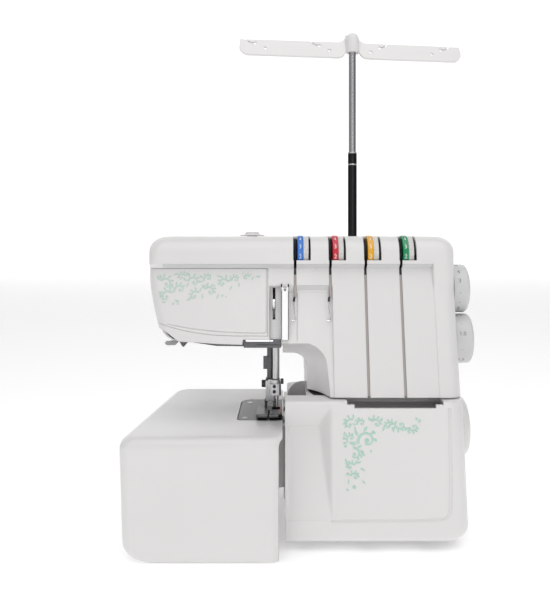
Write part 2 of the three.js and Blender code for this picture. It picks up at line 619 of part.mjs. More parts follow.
// ---------------------------------------------------------------- power inlet and switch
add("power_inlet", "black_plastic", cut(box(141, 149.4, 114.3, 136.7, 24.3, 43.7), box(143, 152, 118, 133, 29, 39)));
add("power_switch", "black_plastic", prism("y",
  polygon([142, 53.5], [148.8, 53.5], [147.6, 58], [150.2, 62.5], [142, 62.5]), 118.3, 132.7));

// ---------------------------------------------------------------- spool stand, pole and thread guide bar
const STAND = { left: -36, right: 184, front: 151, back: 246, z: 150 };
const PINS = { outer_left: [-8, 186], inner_left: [40, 216], inner_right: [109, 216], outer_right: [157, 186] };
add("spool_stand", "white_plastic", cut(
  joined(
    prism("z", roundedRect(STAND.left, STAND.right, STAND.front, STAND.back, 16), STAND.z, STAND.z + 8),
    box(35, 41, 142, 152, 150, 158),
    box(107, 113, 142, 152, 150, 158),
    rod("z", POLE.x, POLE.y, 9, 156, 168, 24),
  ),
  prism("z", roundedRect(STAND.left + 3, STAND.right - 3, STAND.front + 3, STAND.back - 3, 13), STAND.z - 1, STAND.z + 5),
  rod("z", POLE.x, POLE.y, 5.3, 149, 170),
  ...Object.values(PINS).map(([x, y]) => rod("z", x, y, 3.2, 140, 170, 12)),
));
for (const [place, [x, y]] of Object.entries(PINS))
  add(`spool_pin_${place}`, "white_plastic", turned("z", x, y,
    [[2.9, 153], [2.9, 158.3], [20, 158.3], [20, 160.3], [12, 162.3], [9, 177], [3, 177.5], [2.4, 240]], 12));

add("pole_outer_tube", "black_plastic", rod("z", POLE.x, POLE.y, 5, 150, 336, 24).subtract(
  rod("z", POLE.x, POLE.y, 4.45, 152, 340, 24)));
add("pole_upper_tube", "chrome", joined(rod("z", POLE.x, POLE.y, 4.1, 240, 464, 24)));

// The guide bar: two tilted arms on a hub, each with two thread hooks and two thread holes.
const bar = new THREE.Group();
bar.position.set(POLE.x, POLE.y, 0);
bar.rotation.z = THREE.MathUtils.degToRad(8);
machine.add(bar);
const ARM = { length: 125, low: -9.5, high: 9.5, thick: 2.4, z: 461.5 };
function guideArm(side) {
  const shape = new THREE.Shape();
  shape.moveTo(5, ARM.high);
  shape.lineTo(ARM.length - 1, ARM.high - 0.5);
  shape.lineTo(ARM.length, 2);
  shape.absarc(ARM.length - 10, ARM.low + 10, 10, 0, -Math.PI / 2, true);
  shape.lineTo(5, ARM.low);
  for (const x of [38, 108]) {
    const hole = new THREE.Path();
    hole.absarc(x - 16, -2, 1.8, 0, 2 * Math.PI);
    shape.holes.push(hole);
  }
  const plate = prism("y", shape, -ARM.thick / 2, ARM.thick / 2);
  const hooks = [38, 108].flatMap((x) => [
    rod("y", x - 5, 2.5, 2, -5, 5, 12),
    prism("y", polygon([x - 6, 3.5], [x + 5, 6], [x + 7, 12], [x + 5, 12], [x + 3, 7.4], [x - 5, 5]), -5, 5),
  ]);
  const turn = new THREE.Matrix4().makeRotationX(THREE.MathUtils.degToRad(-18));
  const place = new THREE.Matrix4().makeTranslation(0, 0, ARM.z).multiply(turn);
  if (side < 0) place.multiply(new THREE.Matrix4().makeRotationZ(Math.PI));
  return transformed(cut(plate, ...hooks), place);
}
function transformed(body, matrix) {
  const geometry = geometryOf(body);
  geometry.applyMatrix4(matrix);
  return solid(geometry);
}
const hub = turned("z", 0, 0, [[7.2, 450], [7.2, 474], [6, 479], [3, 481.5]], 24);
add("thread_guide_bar", "white_plastic", cut(
  joined(guideArm(1), guideArm(-1), hub),
  rod("z", 0, 0, 4.4, 440, 466, 24),
), bar);

// ---------------------------------------------------------------- extension table
const TABLE = { left: -133, right: -2, front: -20, back: 168, bottom: 1.5 };
function tableEnvelope(inset) {
  const top = BED_TOP - inset;
  const round = 9 - inset;
  const crown = [0, 0.5, 0.87, 1].map((s) => top - round + round * s);
  const foot = [0, 0.3, 1].map((s) => TABLE.bottom - (inset ? 3 : 0) + 14 * s);
  return loft([...foot, ...crown].map((z) => {
    const edge = drawnIn(z, top, round) + inset;
    const lean = (BED_TOP - z) * 0.03;
    const foot = 14 - Math.sqrt(Math.max(0, 196 - Math.max(0, TABLE.bottom + 14 - z) ** 2));
    const left = TABLE.left + edge + lean + foot;
    const right = TABLE.right + (inset ? 10 : 0);
    const back = TABLE.back - edge;
    const front = TABLE.front + edge;
    return [
      ...level(z, left, right, front, back, 10, 10).map((p) => {
        const share = (p.y - front) / (back - front);
        const reach = (right - p.x) / (right - left);
        return new THREE.Vector3(p.x + 19 * share * reach, p.y, p.z);
      }),
    ];
  }));
}
const tableRight = box(TABLE.right - 0.01, 20, -60, 200, -10, 120);
const table = new THREE.Group();
machine.add(table);
add("extension_table", "white_plastic", cut(
  tableEnvelope(0),
  tableEnvelope(3).intersect(box(-200, 20, -60, 200, -10, 95)),
  prism("z", plateOutline(0.8), 90, 110),
  box(PLATE.left + 8, 5, PLATE.front - 0.8, PLATE.back + 0.8, 90, 110),
  tableRight,
), table);

export default machine;
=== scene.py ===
# %% [markdown]
# # An overlock sewing machine, dressed over its mechanical frame
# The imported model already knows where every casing, bar and dial sits and how each one moves. This lesson
# gives those parts the looks of the real ones: moulded casings with soft edges, printed decoration, chrome
# and darkened steel. Pieces keep to millimetres while they are drawn, because makers think in millimetres.

# %% Load the frame
import json
import math
import bmesh
import bpy
from mathutils import Matrix, Vector


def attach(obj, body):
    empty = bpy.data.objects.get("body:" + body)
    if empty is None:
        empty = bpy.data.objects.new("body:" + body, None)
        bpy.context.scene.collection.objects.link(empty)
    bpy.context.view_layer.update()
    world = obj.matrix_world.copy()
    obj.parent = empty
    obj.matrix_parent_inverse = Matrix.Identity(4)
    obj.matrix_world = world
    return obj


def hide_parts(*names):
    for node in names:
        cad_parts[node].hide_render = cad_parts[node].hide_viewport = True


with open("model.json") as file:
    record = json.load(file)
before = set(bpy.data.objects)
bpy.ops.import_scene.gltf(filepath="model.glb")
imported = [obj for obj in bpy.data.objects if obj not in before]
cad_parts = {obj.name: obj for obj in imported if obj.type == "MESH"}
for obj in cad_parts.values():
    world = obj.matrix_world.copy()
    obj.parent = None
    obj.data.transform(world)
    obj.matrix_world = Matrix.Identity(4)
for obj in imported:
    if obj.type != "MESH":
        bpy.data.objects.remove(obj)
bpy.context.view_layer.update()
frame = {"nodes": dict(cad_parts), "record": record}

# %% [markdown]
# The drawings below use the maker's own zero: X = 0 at the knives, Y = 0 at the front of the looper cover
# and Z = 0 on the table top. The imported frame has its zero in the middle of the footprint, so one function
# carries every point over.

# %% From the drawing's millimetres to the frame's metres
CENTRE_X, CENTRE_Y = 33.7, 113


def placed(x, y, z):
    return Vector(((x - CENTRE_X) / 1000, (y - CENTRE_Y) / 1000, z / 1000))


# %% [markdown]
# ## Camera and light
# The camera comes first, so that every piece can be judged from the same spot. It stands level with the top
# of the machine, a little over half a metre in front of it, with a 42 mm lens. The room is a bright white
# product studio: one large soft light above, one at each side, a narrow strip in front that draws a line of
# light down the chrome, and a pale floor that fades into the world.

# %% Camera
camera = bpy.data.objects.new("camera", bpy.data.cameras.new("camera"))
camera.data.lens = 42
camera.data.sensor_width = 36
camera.data.clip_end = 20
camera.location = placed(0, -569, 258)
camera.rotation_euler = (math.radians(90), 0, 0)
camera.data.shift_x, camera.data.shift_y = -0.0167, -0.108
bpy.context.scene.collection.objects.link(camera)
bpy.context.scene.camera = camera
print("camera at", [round(v, 3) for v in camera.location])


# %% Studio
def soft_light(name, location, target, size, power):
    lamp = bpy.data.objects.new(name, bpy.data.lights.new(name, "AREA"))
    lamp.data.shape = "RECTANGLE"
    lamp.data.size, lamp.data.size_y = size
    lamp.data.energy = power
    lamp.location = location
    aim = Vector(target) - Vector(location)
    lamp.rotation_euler = aim.to_track_quat("-Z", "Y").to_euler()
    bpy.context.scene.collection.objects.link(lamp)


soft_light("ceiling_light", (0.1, -0.5, 1.5), (0, 0, 0.1), (1.6, 1.3), 10.5)
soft_light("left_light", (-1.1, -1.3, 0.8), (0, 0, 0.2), (0.9, 1.2), 2.0)
soft_light("right_light", (0.8, -1.5, 0.7), (0.1, 0, 0.2), (0.7, 1.1), 1.7)
soft_light("front_strip", (-0.03, -1.5, 0.62), (-0.03, 0, 0.3), (0.16, 1.0), 1.6)
world = bpy.data.worlds.new("studio")
world.use_nodes = True
world.node_tree.nodes["Background"].inputs["Color"].default_value = (1, 1, 1, 1)
world.node_tree.nodes["Background"].inputs["Strength"].default_value = 0.29
bpy.context.scene.world = world
bpy.context.scene.view_settings.view_transform = "Standard"


# %% [markdown]
# ## Shader arithmetic
# A finish is a small piece of arithmetic: noise times a strength, plus a base colour. `Link` wraps one
# socket so that such a sum can be written as Python. Plain numbers are worked out in Python, values that
# change over the surface become Math nodes, and every other node comes from the one method `node`.

# %% One wrapper for sockets
class Link:
    def __init__(self, tree, socket):
        self.tree, self.socket = tree, socket

    def node(self, kind, settings=None, values=None, out=0):
        made = self.tree.nodes.new(kind)
        for key, value in (settings or {}).items():
            setattr(made, key, value)
        for key, value in (values or {}).items():
            if isinstance(value, Link):
                self.tree.links.new(value.socket, made.inputs[key])
            else:
                made.inputs[key].default_value = value
        return Link(self.tree, made.outputs[out])

    def math(self, operation, first, second, clamp=False):
        settings = {"operation": operation, "use_clamp": clamp}
        return self.node("ShaderNodeMath", settings, {0: first, 1: second})

    def __add__(self, other): return self.math("ADD", self, other)
    def __radd__(self, other): return self.math("ADD", other, self)
    def __sub__(self, other): return self.math("SUBTRACT", self, other)
    def __rsub__(self, other): return self.math("SUBTRACT", other, self)
    def __mul__(self, other): return self.math("MULTIPLY", self, other)
    def __rmul__(self, other): return self.math("MULTIPLY", other, self)

    def clamped(self): return self.math("MULTIPLY", self, 1.0, clamp=True)

    def noise(self, scale, detail=3.0, stretch=(1, 1, 1)):
        place = self.node("ShaderNodeMapping", {}, {"Vector": self, "Scale": stretch})
        return self.node("ShaderNodeTexNoise", {}, {"Vector": place, "Scale": scale, "Detail": detail})

    def between(self, dark, light):
        low, high = [end if isinstance(end, Link) else (*end, 1) for end in (dark, light)]
        return self.node("ShaderNodeMix", {"data_type": "RGBA"}, {0: self, 6: low, 7: high}, out=2)


# %% [markdown]
# A moulded or machined edge is never sharp: it catches a thin line of light. The Bevel node finds those
# edges from the shape itself, so it both rounds the shading over them and, compared with the true surface,
# tells a finish where hands and cloth have polished or rubbed it.

# %% The start of every finish
def finish(name, metallic=0.0, coat=0.0):
    material = bpy.data.materials.new(name)
    material.use_nodes = True
    tree = material.node_tree
    shader = tree.nodes["Principled BSDF"]
    shader.inputs["Metallic"].default_value = metallic
    shader.inputs["Coat Weight"].default_value = coat
    start = Link(tree, shader.outputs[0])
    place = start.node("ShaderNodeTexCoord", out="Object")
    return material, shader, place


def plug(shader, **values):
    for key, value in values.items():
        socket = shader.inputs[key.replace("_", " ")]
        if isinstance(value, Link):
            value.tree.links.new(value.socket, socket)
        else:
            socket.default_value = value


def rounded_edges(place, radius):
    return place.node("ShaderNodeBevel", {"samples": 4}, {"Radius": radius})


def edge_mask(place, radius, gain):
    soft = rounded_edges(place, radius)
    true = place.node("ShaderNodeNewGeometry", out="Normal")
    agree = place.node("ShaderNodeVectorMath", {"operation": "DOT_PRODUCT"}, {0: soft, 1: true}, out="Value")
    return ((1 - agree) * gain).clamped()


def bumped(place, height, strength, distance, radius):
    return place.node("ShaderNodeBump", {}, {"Strength": strength, "Distance": distance, "Height": height,
                                             "Normal": rounded_edges(place, radius)})


# %% [markdown]
# ### Moulded plastic
# The casings are moulded in a warm white with a faint satin grain from the spark-eroded mould. The colour
# drifts a little over the length of a casing, edges are slightly yellowed where hands hold them, and the
# roughness wanders because some places are more handled than others.

# %% Plastic finishes
def plastic(name, colour, rough=0.34, grain=0.5, radius=0.0009, coat=0.12):
    material, shader, place = finish(name, coat=coat)
    drift = place.noise(9, 2.0)
    worn = edge_mask(place, radius * 1.6, 1.6)
    tone = drift.between([c * 0.965 for c in colour], [min(1, c * 1.02) for c in colour])
    aged = [colour[0] * 0.97, colour[1] * 0.95, colour[2] * 0.9]
    plug(shader, Base_Color=(worn * 0.5).between(tone, aged),
         Normal=bumped(place, place.noise(1500, 2.0), 0.12 * grain, 0.00008, radius),
         Roughness=place.noise(40) * 0.12 + (rough - 0.06))
    return material


FINISHES = {
    "white_plastic": plastic("white_casing_plastic", (0.80, 0.79, 0.785)),
    "grey_plastic": plastic("grey_plastic", (0.36, 0.355, 0.36), 0.5, 1.0, 0.0004, 0),
    "black_plastic": plastic("black_plastic", (0.012, 0.011, 0.013), 0.35, 0.8, 0.0004),
    "blue_plastic": plastic("blue_dial_plastic", (0.003, 0.16, 0.62), 0.3, 0.3, 0.0003, 0.3),
    "red_plastic": plastic("red_dial_plastic", (0.62, 0.012, 0.03), 0.3, 0.3, 0.0003, 0.3),
    "yellow_plastic": plastic("yellow_dial_plastic", (0.85, 0.42, 0.02), 0.3, 0.3, 0.0003, 0.3),
    "green_plastic": plastic("green_dial_plastic", (0.003, 0.28, 0.11), 0.3, 0.3, 0.0003, 0.3),
    "rubber": plastic("foot_rubber", (0.025, 0.025, 0.026), 0.85, 2.0, 0.0006, 0),
    "clear_plastic": plastic("lamp_lens_plastic", (0.9, 0.92, 0.94), 0.25, 0.2, 0.0005, 0.4),
}
print("plastics:", len(FINISHES))


# %% [markdown]
# ### Metals
# Bars and plates are ground along their length, so their roughness and bump come from noise that is
# stretched far along one axis. Edges are brighter where cloth and screwdrivers have polished them.

# %% Metal finishes
def metal(name, colour, rough, brushed=(1, 1, 12), strength=0.25, radius=0.0003):
    material, shader, place = finish(name, metallic=1.0)
    lines = place.noise(420, 2.0, brushed)
    worn = edge_mask(place, radius * 2, 1.4)
    tone = place.noise(30).between([c * 0.86 for c in colour], colour)
    bright = [min(1, c * 1.25 + 0.05) for c in colour]
    plug(shader, Base_Color=worn.between(tone, bright),
         Normal=bumped(place, lines, strength, 0.00005, radius),
         Roughness=lines * 0.14 + (rough - 0.06))
    return material


FINISHES |= {
    "chrome": metal("chrome_plate", (0.82, 0.82, 0.83), 0.1, (1, 1, 1), 0.03),
    "steel": metal("ground_steel", (0.55, 0.55, 0.56), 0.3, (1, 12, 1)),
    "dark_steel": metal("darkened_steel", (0.14, 0.14, 0.145), 0.36, (12, 1, 1)),
    "cast_metal": metal("cast_metal", (0.4, 0.41, 0.42), 0.6, (1, 1, 1), 0.8, 0.0008),
}
print("finishes:", len(FINISHES))

# %% Dress the CAD nodes that keep their shape
slots = {row["node"]: row["material_slot"] for row in frame["record"]["subparts"]}
for node_name, node_object in frame["nodes"].items():
    node_object.data.materials.clear()
    node_object.data.materials.append(FINISHES[slots[node_name]])
print("dressed", len(slots), "nodes")

# %% [markdown]
# ## Drawing tools
# A moulded casing starts as a stack of rounded outlines, one per height, that a skin is pulled over. What
# the mould leaves open is then cut away with prisms. The stack follows draft angles and crowned tops better
# than a bevelled box would, and the outlines stay editable numbers.

# %% Outlines and skins
def arc(centre, radius, start, end, steps=12):
    turns = [math.radians(start + (end - start) * i / steps) for i in range(steps + 1)]
    return [(centre[0] + radius * math.cos(t), centre[1] + radius * math.sin(t)) for t in turns]


def outline(x0, x1, y0, y1, front, back=None, steps=10):
    back = front if back is None else back
    corners = [(x0 + front, y0 + front, front, 180), (x1 - front, y0 + front, front, 270),
               (x1 - back, y1 - back, back, 0), (x0 + back, y1 - back, back, 90)]
    return [spot for x, y, radius, turn in corners for spot in arc((x, y), radius, turn, turn + 90, steps)]


def drawn_in(z, top, radius):
    return radius - math.sqrt(max(0, radius ** 2 - (z - top + radius) ** 2)) if z > top - radius else 0


def skin(rings):
    count, faces = len(rings[0]), []
    for k in range(len(rings) - 1):
        for i in range(count):
            j = (i + 1) % count
            faces.append((k * count + i, k * count + j, (k + 1) * count + j, (k + 1) * count + i))
    last = (len(rings) - 1) * count
    faces += [tuple(reversed(range(count))), tuple(range(last, last + count))]
    return [point for ring in rings for point in ring], faces


# %% Prisms, bars and turned pieces
ALONG = {"x": lambda a, b, d: (d, a, b), "y": lambda a, b, d: (a, d, b), "z": lambda a, b, d: (a, b, d)}


def prism(axis, shape, start, end):
    return skin([[ALONG[axis](a, b, depth) for a, b in shape] for depth in (start, end)])


def block(x0, x1, y0, y1, z0, z1):
    return prism("z", [(x0, y0), (x1, y0), (x1, y1), (x0, y1)], z0, z1)


def turned(axis, centre, profile, sides=64):
    rings = []
    for radius, depth in profile:
        circle = arc(centre, max(radius, 0.01), 0, 360 - 360 / sides, sides - 1)
        rings.append([ALONG[axis](a, b, depth) for a, b in circle])
    return skin(rings)


def bar(axis, centre, radius, start, end, sides=32):
    return turned(axis, centre, [(radius, start), (radius, end)], sides)


# %% From a drawing to a piece
def shown(name, data):
    made = bpy.data.objects.new(name, data)
    bpy.context.scene.collection.objects.link(made)
    return made


def shaped(name, drawing):
    mesh = bpy.data.meshes.new(name)
    mesh.from_pydata([placed(*point) for point in drawing[0]], [], drawing[1])
    sheet = bmesh.new()
    sheet.from_mesh(mesh)
    bmesh.ops.recalc_face_normals(sheet, faces=sheet.faces)
    sheet.to_mesh(mesh)
    sheet.free()
    return shown(name, mesh)


def machined(target, drawings, operation="DIFFERENCE"):
    for drawing in drawings:
        tool = drawing if isinstance(drawing, bpy.types.Object) else shaped("tool", drawing)
        step = target.modifiers.new("machined", "BOOLEAN")
        step.operation, step.solver, step.object = operation, "MANIFOLD", tool
        graph = bpy.context.evaluated_depsgraph_get()
        fresh = bpy.data.meshes.new_from_object(target.evaluated_get(graph))
        target.modifiers.clear()
        old, target.data = target.data, fresh
        bpy.data.meshes.remove(old)
        bpy.data.meshes.remove(tool.data)
    return target


def copied(thing, name):
    twin = thing.copy()
    twin.data, twin.name = thing.data.copy(), name
    bpy.context.scene.collection.objects.link(twin)
    return twin


def done(thing, body, slot, stands_for=(), finish_name=None, angle=32):
    thing.data.materials.clear()
    thing.data.materials.append(FINISHES[finish_name or slot])
    thing.data.shade_smooth()
    thing.data.set_sharp_from_angle(angle=math.radians(angle))
    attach(thing, body)
    if stands_for:
        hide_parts(*stands_for)
    print(f"{thing.name}: {len(thing.data.polygons)} faces")
    return thing


# %% [markdown]
# ## The upper casing
# Head, arm and column are one large moulding, split behind the dials into a front and a rear cover. Its
# front leans back, and a rounded band overhangs it along the top. The throat, the cove beside the column
# and the recess for the needle threads are cut from it, and the hollow inside leaves a wall of 2.5 mm.

# %% Envelope of the upper casing
FOOT, TOP, LEFT, RIGHT, BACK, LEDGE, WALL = 124, 257, -118.5, 147, 150, 233, 2.5
HEAD_BOTTOM, ARM_BOTTOM, COLUMN_LEFT, PANEL_LEFT, RECESS_LEFT = 165, 156, 19, 40.7, -13.5
RECESS_TOP, RECESS_LIP = 215.3, 208.5


def front_y(z):
    return 7.5 + (z - FOOT) * 0.264


def head_left(z):
    lean = 8.5 * ((225 - z) / 41) ** 1.5 if z < 225 else 0
    drop = min(12, max(0, 177.5 - z))
    return LEFT + lean + 12 - math.sqrt(max(0, 144 - drop ** 2))


def casing_envelope(inset):
    top = TOP - inset
    heights = [FOOT - (5 if inset else 0), 150] + [165.5 + i for i in range(13)]
    heights += [180 + 3 * i for i in range(16)] + [LEDGE - 3.6, LEDGE - 2.4, LEDGE - 1, LEDGE + 0.4, TOP - 17]
    heights += [top - 17 + 17 * math.sin(math.radians(6 * i)) for i in range(1, 16)]
    rings = []
    for z in heights:
        side = drawn_in(z, top, 13) + inset
        share = min(1, max(0, (z - LEDGE + 3.6) / 4))
        under = front_y(LEDGE - 3.6) + (30 - front_y(LEDGE - 3.6)) * share
        front = front_y(z) if z <= LEDGE - 3.6 else under if z < LEDGE + 0.4 else 30 + drawn_in(z, top, 17)
        plan = outline(head_left(z) + side, RIGHT - side, front + inset, BACK - side, 12 - inset, 10 - inset)
        rings.append([(x, y, z) for x, y in plan])
    return skin(rings)


# %% Spaces cut from it
def throat_space(grow):
    left, arm, head = COLUMN_LEFT + grow, ARM_BOTTOM + grow, HEAD_BOTTOM + grow
    shape = [(-140, 100), (left, 100)] + arc((left - 13, arm - 13), 13, 0, 90)
    return prism("y", shape + [(-2 - grow, arm), (-2 - grow, head), (-140, head)], -20, 170)


def cove_space(grow):
    rings = []
    for lift in [-50, 0] + [19 * math.sin(math.radians(7 * i)) for i in range(1, 13)]:
        reach = math.sqrt(1 - (max(0, lift) / 19) ** 2)
        left, depth, z = COLUMN_LEFT + grow, 38 * reach + grow, 150 + lift + (grow if lift > 0 else 0)
        turns = [math.radians(90 * i / 24) for i in range(25)]
        width = 19.5 * reach
        sweep = [(left + width * abs(math.cos(t)) ** 1.43, 3 + depth * math.sin(t) ** 1.43) for t in turns]
        plan = [(-2, -20), (left + width, -20)] + sweep + [(-2, 3 + depth)]
        rings.append([(x, y, z) for x, y in plan])
    return skin(rings)


def recess_floor(z):
    return front_y(z) + 1 + 3.5 * (z - FOOT) / (RECESS_LIP - FOOT)


def thread_recess(grow):
    side = [(-20, 100), (recess_floor(100) + grow, 100), (recess_floor(RECESS_LIP) + grow, RECESS_LIP),
            (front_y(RECESS_TOP), RECESS_TOP + grow), (-20, RECESS_TOP + grow)]
    return prism("x", side, RECESS_LEFT - grow, PANEL_LEFT + grow)


# %% [markdown]
# The band at the top runs down the right corner as a smooth border, so the ledge under it ends there and
# only a soft upright edge goes on. The lower front edge of the head is not straight either: it rises to the
# left, and at its right end a notch shows the lamp.

# %% Border, lower lip and grooves
def side_border():
    rings = []
    for z in [124, 160, 200, 208, 211.5, 215, 222, 234.6]:
        front = min(30, front_y(z) - 0.6)
        corner = arc((RIGHT - 12, front + 12), 12, 270, 360, 10)
        plan = [(127, 60), (127, front + 0.7), (127.7, front)] + corner + [(RIGHT, 60)]
        rings.append([(x, y, z) for x, y in plan])
    return skin(rings)


LIP = [(-125, 150), (-125, 180), (-103, 178), (-98, 174.6), (-93, 171), (-90, 168.7), (-84, 168.2),
       (-75, 167.8), (-58, 166.6), (-36, 165.9), (-35.4, 170), (-3, 170), (-3, 150)]


def groove(path, surface, depth, half):
    rings = []
    section = [(1.6, -1.5), (1, 0), (0.35, depth), (-0.35, depth), (-1, 0), (-1.6, -1.5)]
    for i, (x, z) in enumerate(path):
        (x0, z0), (x1, z1) = path[max(0, i - 1)], path[min(len(path) - 1, i + 1)]
        size = math.hypot(x1 - x0, z1 - z0)
        u, v = -(z1 - z0) / size, (x1 - x0) / size
        rings.append([(x + u * a * half, surface(z + v * a * half) + y, z + v * a * half)
                      for a, y in section])
    return skin(rings)


DIALS = {"blue": 10.7, "red": 41, "yellow": 71.3, "green": 101.6}
DIAL_WIDTH, DIAL_RADIUS, DIAL_Y, DIAL_Z = 9.7, 16.5, 48.8, 241.3
LENGTH_WHEEL, RATIO_WHEEL, HANDWHEEL, KNOB = (65, 210), (57.5, 166), (75, 83), (-30, 72)

casing = shaped("casing", casing_envelope(0))
hollow = shaped("hollow", casing_envelope(WALL))
machined(hollow, [throat_space(WALL), cove_space(WALL), thread_recess(WALL)])
machined(casing, [throat_space(0), cove_space(0), thread_recess(0), hollow])
machined(casing, [side_border()], "UNION")
for count, x in enumerate(DIALS.values()):
    machined(casing, [block(x - 3.6, x + DIAL_WIDTH + 1.6, 10, DIAL_Y + DIAL_RADIUS + 1, 236.5, 262),
                      bar("x", (DIAL_Y, DIAL_Z), DIAL_RADIUS + 0.5, x - 0.3, x + DIAL_WIDTH + 0.3, 64)])
    deep, low = (39, 205) if count < 2 else (60, 110)
    machined(casing, [block(x - 3.1, x - 0.9, -10, deep, low, 237)])
machined(casing, [block(-12.5, -3.2, 10, 42, 150, 214), block(-84, -4, 44, 112, 155, 172),
                  prism("y", LIP, -20, 40)])
print("casing:", len(casing.data.polygons), "faces")


# %% The face cover, and the front and rear covers
def face_region(grow):
    seam = [(-107 + 92.2 * t, 183.3 - grow - 10.3 * t - 5.5 * math.sin(math.pi * t) * (1 - 0.5 * t))
            for t in [i / 24 for i in range(25)]]
    seam[-1] = (-14.8 + grow, seam[-1][1])
    shape = [(-130, 184 - grow)] + seam + [(-14.8 + grow, 229.1 + grow), (-130, 229.1 + grow)]
    return prism("y", shape, -20, 81 + grow)


face_cover = machined(copied(casing, "face_cover_shell"), [face_region(0)], "INTERSECT")
border = [(-15.9, 230), (-15.9, 177)] + arc((-17.6, 177.1), 1.7, 0, -90, 4) + [(-27.7, 175.4), (-45, 175.9)]
border += [(-62.3, 177), (-79.5, 179), (-96.8, 182.2), (-112, 185.6)]
machined(face_cover, [groove(border, front_y, 0.55, 0.42)])
machined(casing, [groove([(10.3, 207), (10.3, 168.5)], recess_floor, 0.5, 0.45)])
machined(casing, [face_region(0.2), bar("x", LENGTH_WHEEL, 5, 130, 160), bar("x", RATIO_WHEEL, 5, 130, 160),
                  bar("z", KNOB, 5.4, 240, 270), block(-37, -19, 140, 160, 150, 196),
                  block(34, 42, 140, 160, 149, 159), block(106, 114, 140, 160, 149, 159)])
rear_cover = machined(copied(casing, "rear_cover_shell"), [block(-200, 200, 85.3, 300, 0, 300)], "INTERSECT")
machined(casing, [block(-200, 200, -50, 84.7, 0, 300)], "INTERSECT")
casing.name = "front_cover_shell"
# This pale grey is the side wheels' plastic. On two strips it paints the shade under the band's ledge and
# under the roof of the thread recess.
FINISHES["pale_grey_and_painted_shade"] = plastic("pale_grey_plastic_and_painted_shade", (0.66, 0.66, 0.665), 0.4, 0.5, 0.0009, 0.1)
under = [(35.1, 229.5), (29.9, 233.2), (31, 233.9), (36.4, 230.2)]
ledge = shaped("ledge_painted_shade_strip", prism("x", under, -105, 126.7))
machined(ledge, [block(x - 3.1, x - 0.9, 20, 50, 220, 240) for x in DIALS.values()])
done(ledge, "machine", "white_plastic", [], "pale_grey_and_painted_shade")
roof = [(recess_floor(208.8) - 0.15, 208.8), (front_y(215.2) - 0.05, 215.1), (front_y(215.2) + 1, 216),
        (37, 210)]
done(shaped("recess_roof_painted_shade_strip", prism("x", roof, 11, 37.6)), "machine", "white_plastic", [], "pale_grey_and_painted_shade")
done(face_cover, "face_cover_body", "white_plastic", ["face_cover"])
done(rear_cover, "machine", "white_plastic", ["rear_cover"])
done(casing, "machine", "white_plastic", ["front_cover"])

# %% [markdown]
# ## Base, looper cover and extension table
# The looper cover closes the front of the base. A pull recess is pressed into its left side, deep at the
# top and running out towards the foot, and a stepped notch in its upper edge shows the dark gap under the
# arm. The extension table is a deep open-sided box with broad soft edges that slides over the free arm.

# %% Base housing and what closes its gaps
def base_envelope(inset):
    plan = outline(2 + inset, 148.5 - inset, 23.2 + inset, BACK - inset, 2, 10 - inset)
    rings = [[(x, y, z) for x, y in plan] for z in (9 - (3 if inset else 0), 14, 122 - inset)]
    left, top = 2 + inset, 122 - inset
    front = [(left, 0), (150, 0), (150, top)] + arc((left + 14, top - 14), 14, 90, 180)
    base = machined(shaped("base", skin(rings)), [prism("y", front, 0, 160)], "INTERSECT")
    return machined(base, [block(-5, 19.6 + inset, 84.5 - inset, 160, 107.5 - inset, 130)])


base = machined(base_envelope(0), [base_envelope(WALL)])
machined(base, [block(32, 146.4, 44.5, 46.5, 11, 120)], "UNION")
machined(base, [block(-5, 140, 20, 30, 0, 117), block(-5, 18, 20, 82, 97, 130), block(-5, 10, 20, 118, 0, 97),
                block(52, 126, 40, 140, 115, 130), bar("x", HANDWHEEL, 9, 130, 160),
                block(140, 155, 114, 137, 24, 44), block(140, 155, 118, 133, 51.5, 64.5)])
base.name = "base_housing_shell"
done(base, "machine", "white_plastic", ["base_housing"])
FINISHES["shaded_plastic"] = plastic("shaded_grey_plastic", (0.40, 0.40, 0.41), 0.45, 0.7, 0.0009, 0)
corner = [(2.6, 97.4)] + arc((16.5, 107.8), 13.9, 180, 90) + [(20.5, 121.7), (20.5, 97.4)]
done(shaped("bed_corner_wall", prism("y", corner, 79.6, 81.8)), "machine", "white_plastic")
strip = shaped("bed_back_strip", prism("z", outline(-1.3, 1.8, 84.5, 148, 1.2), 12, 98))
done(strip, "machine", "white_plastic")
gap = [(19.5, 48), (21.5, 36), (25, 24), (29.5, 9.5), (50, 9.5), (50, 48)]
done(shaped("column_gap_shade", prism("z", gap, 122.02, 122.4)), "machine", "black_plastic")


# %% Looper cover
def cover_envelope(inset):
    top, low = 122.7 - inset, 8.7 + inset
    heights = [low + 11 * (1 - math.cos(math.radians(9 * i))) for i in range(11)]
    heights += [60, top - 1.2, top - 0.4, top]
    block_rings, corner_rings = [], []
    for z in heights:
        under = drawn_in(low + 11 - z, 11, 11)
        edge = drawn_in(z, top, 1.5) if not inset else 0
        right = 147 + (122.7 - z) * 0.046 - inset - under - 0.5 * edge
        front = inset + 0.12 * under + 0.5 * edge
        back = 22.6 + (10 if inset else 0)
        block_rings.append([(x, y, z) for x, y in outline(-5 if inset else 0, 170, front, back, 0.6, 0.6, 4)])
        corner_rings.append([(x, y, z) for x, y in outline(-20, right, front, 60, 13 - inset)])
    return machined(shaped("cover", skin(block_rings)), [skin(corner_rings)], "INTERSECT")


def eased(t):
    t = min(1, max(0, t))
    return t * t * (3 - 2 * t)


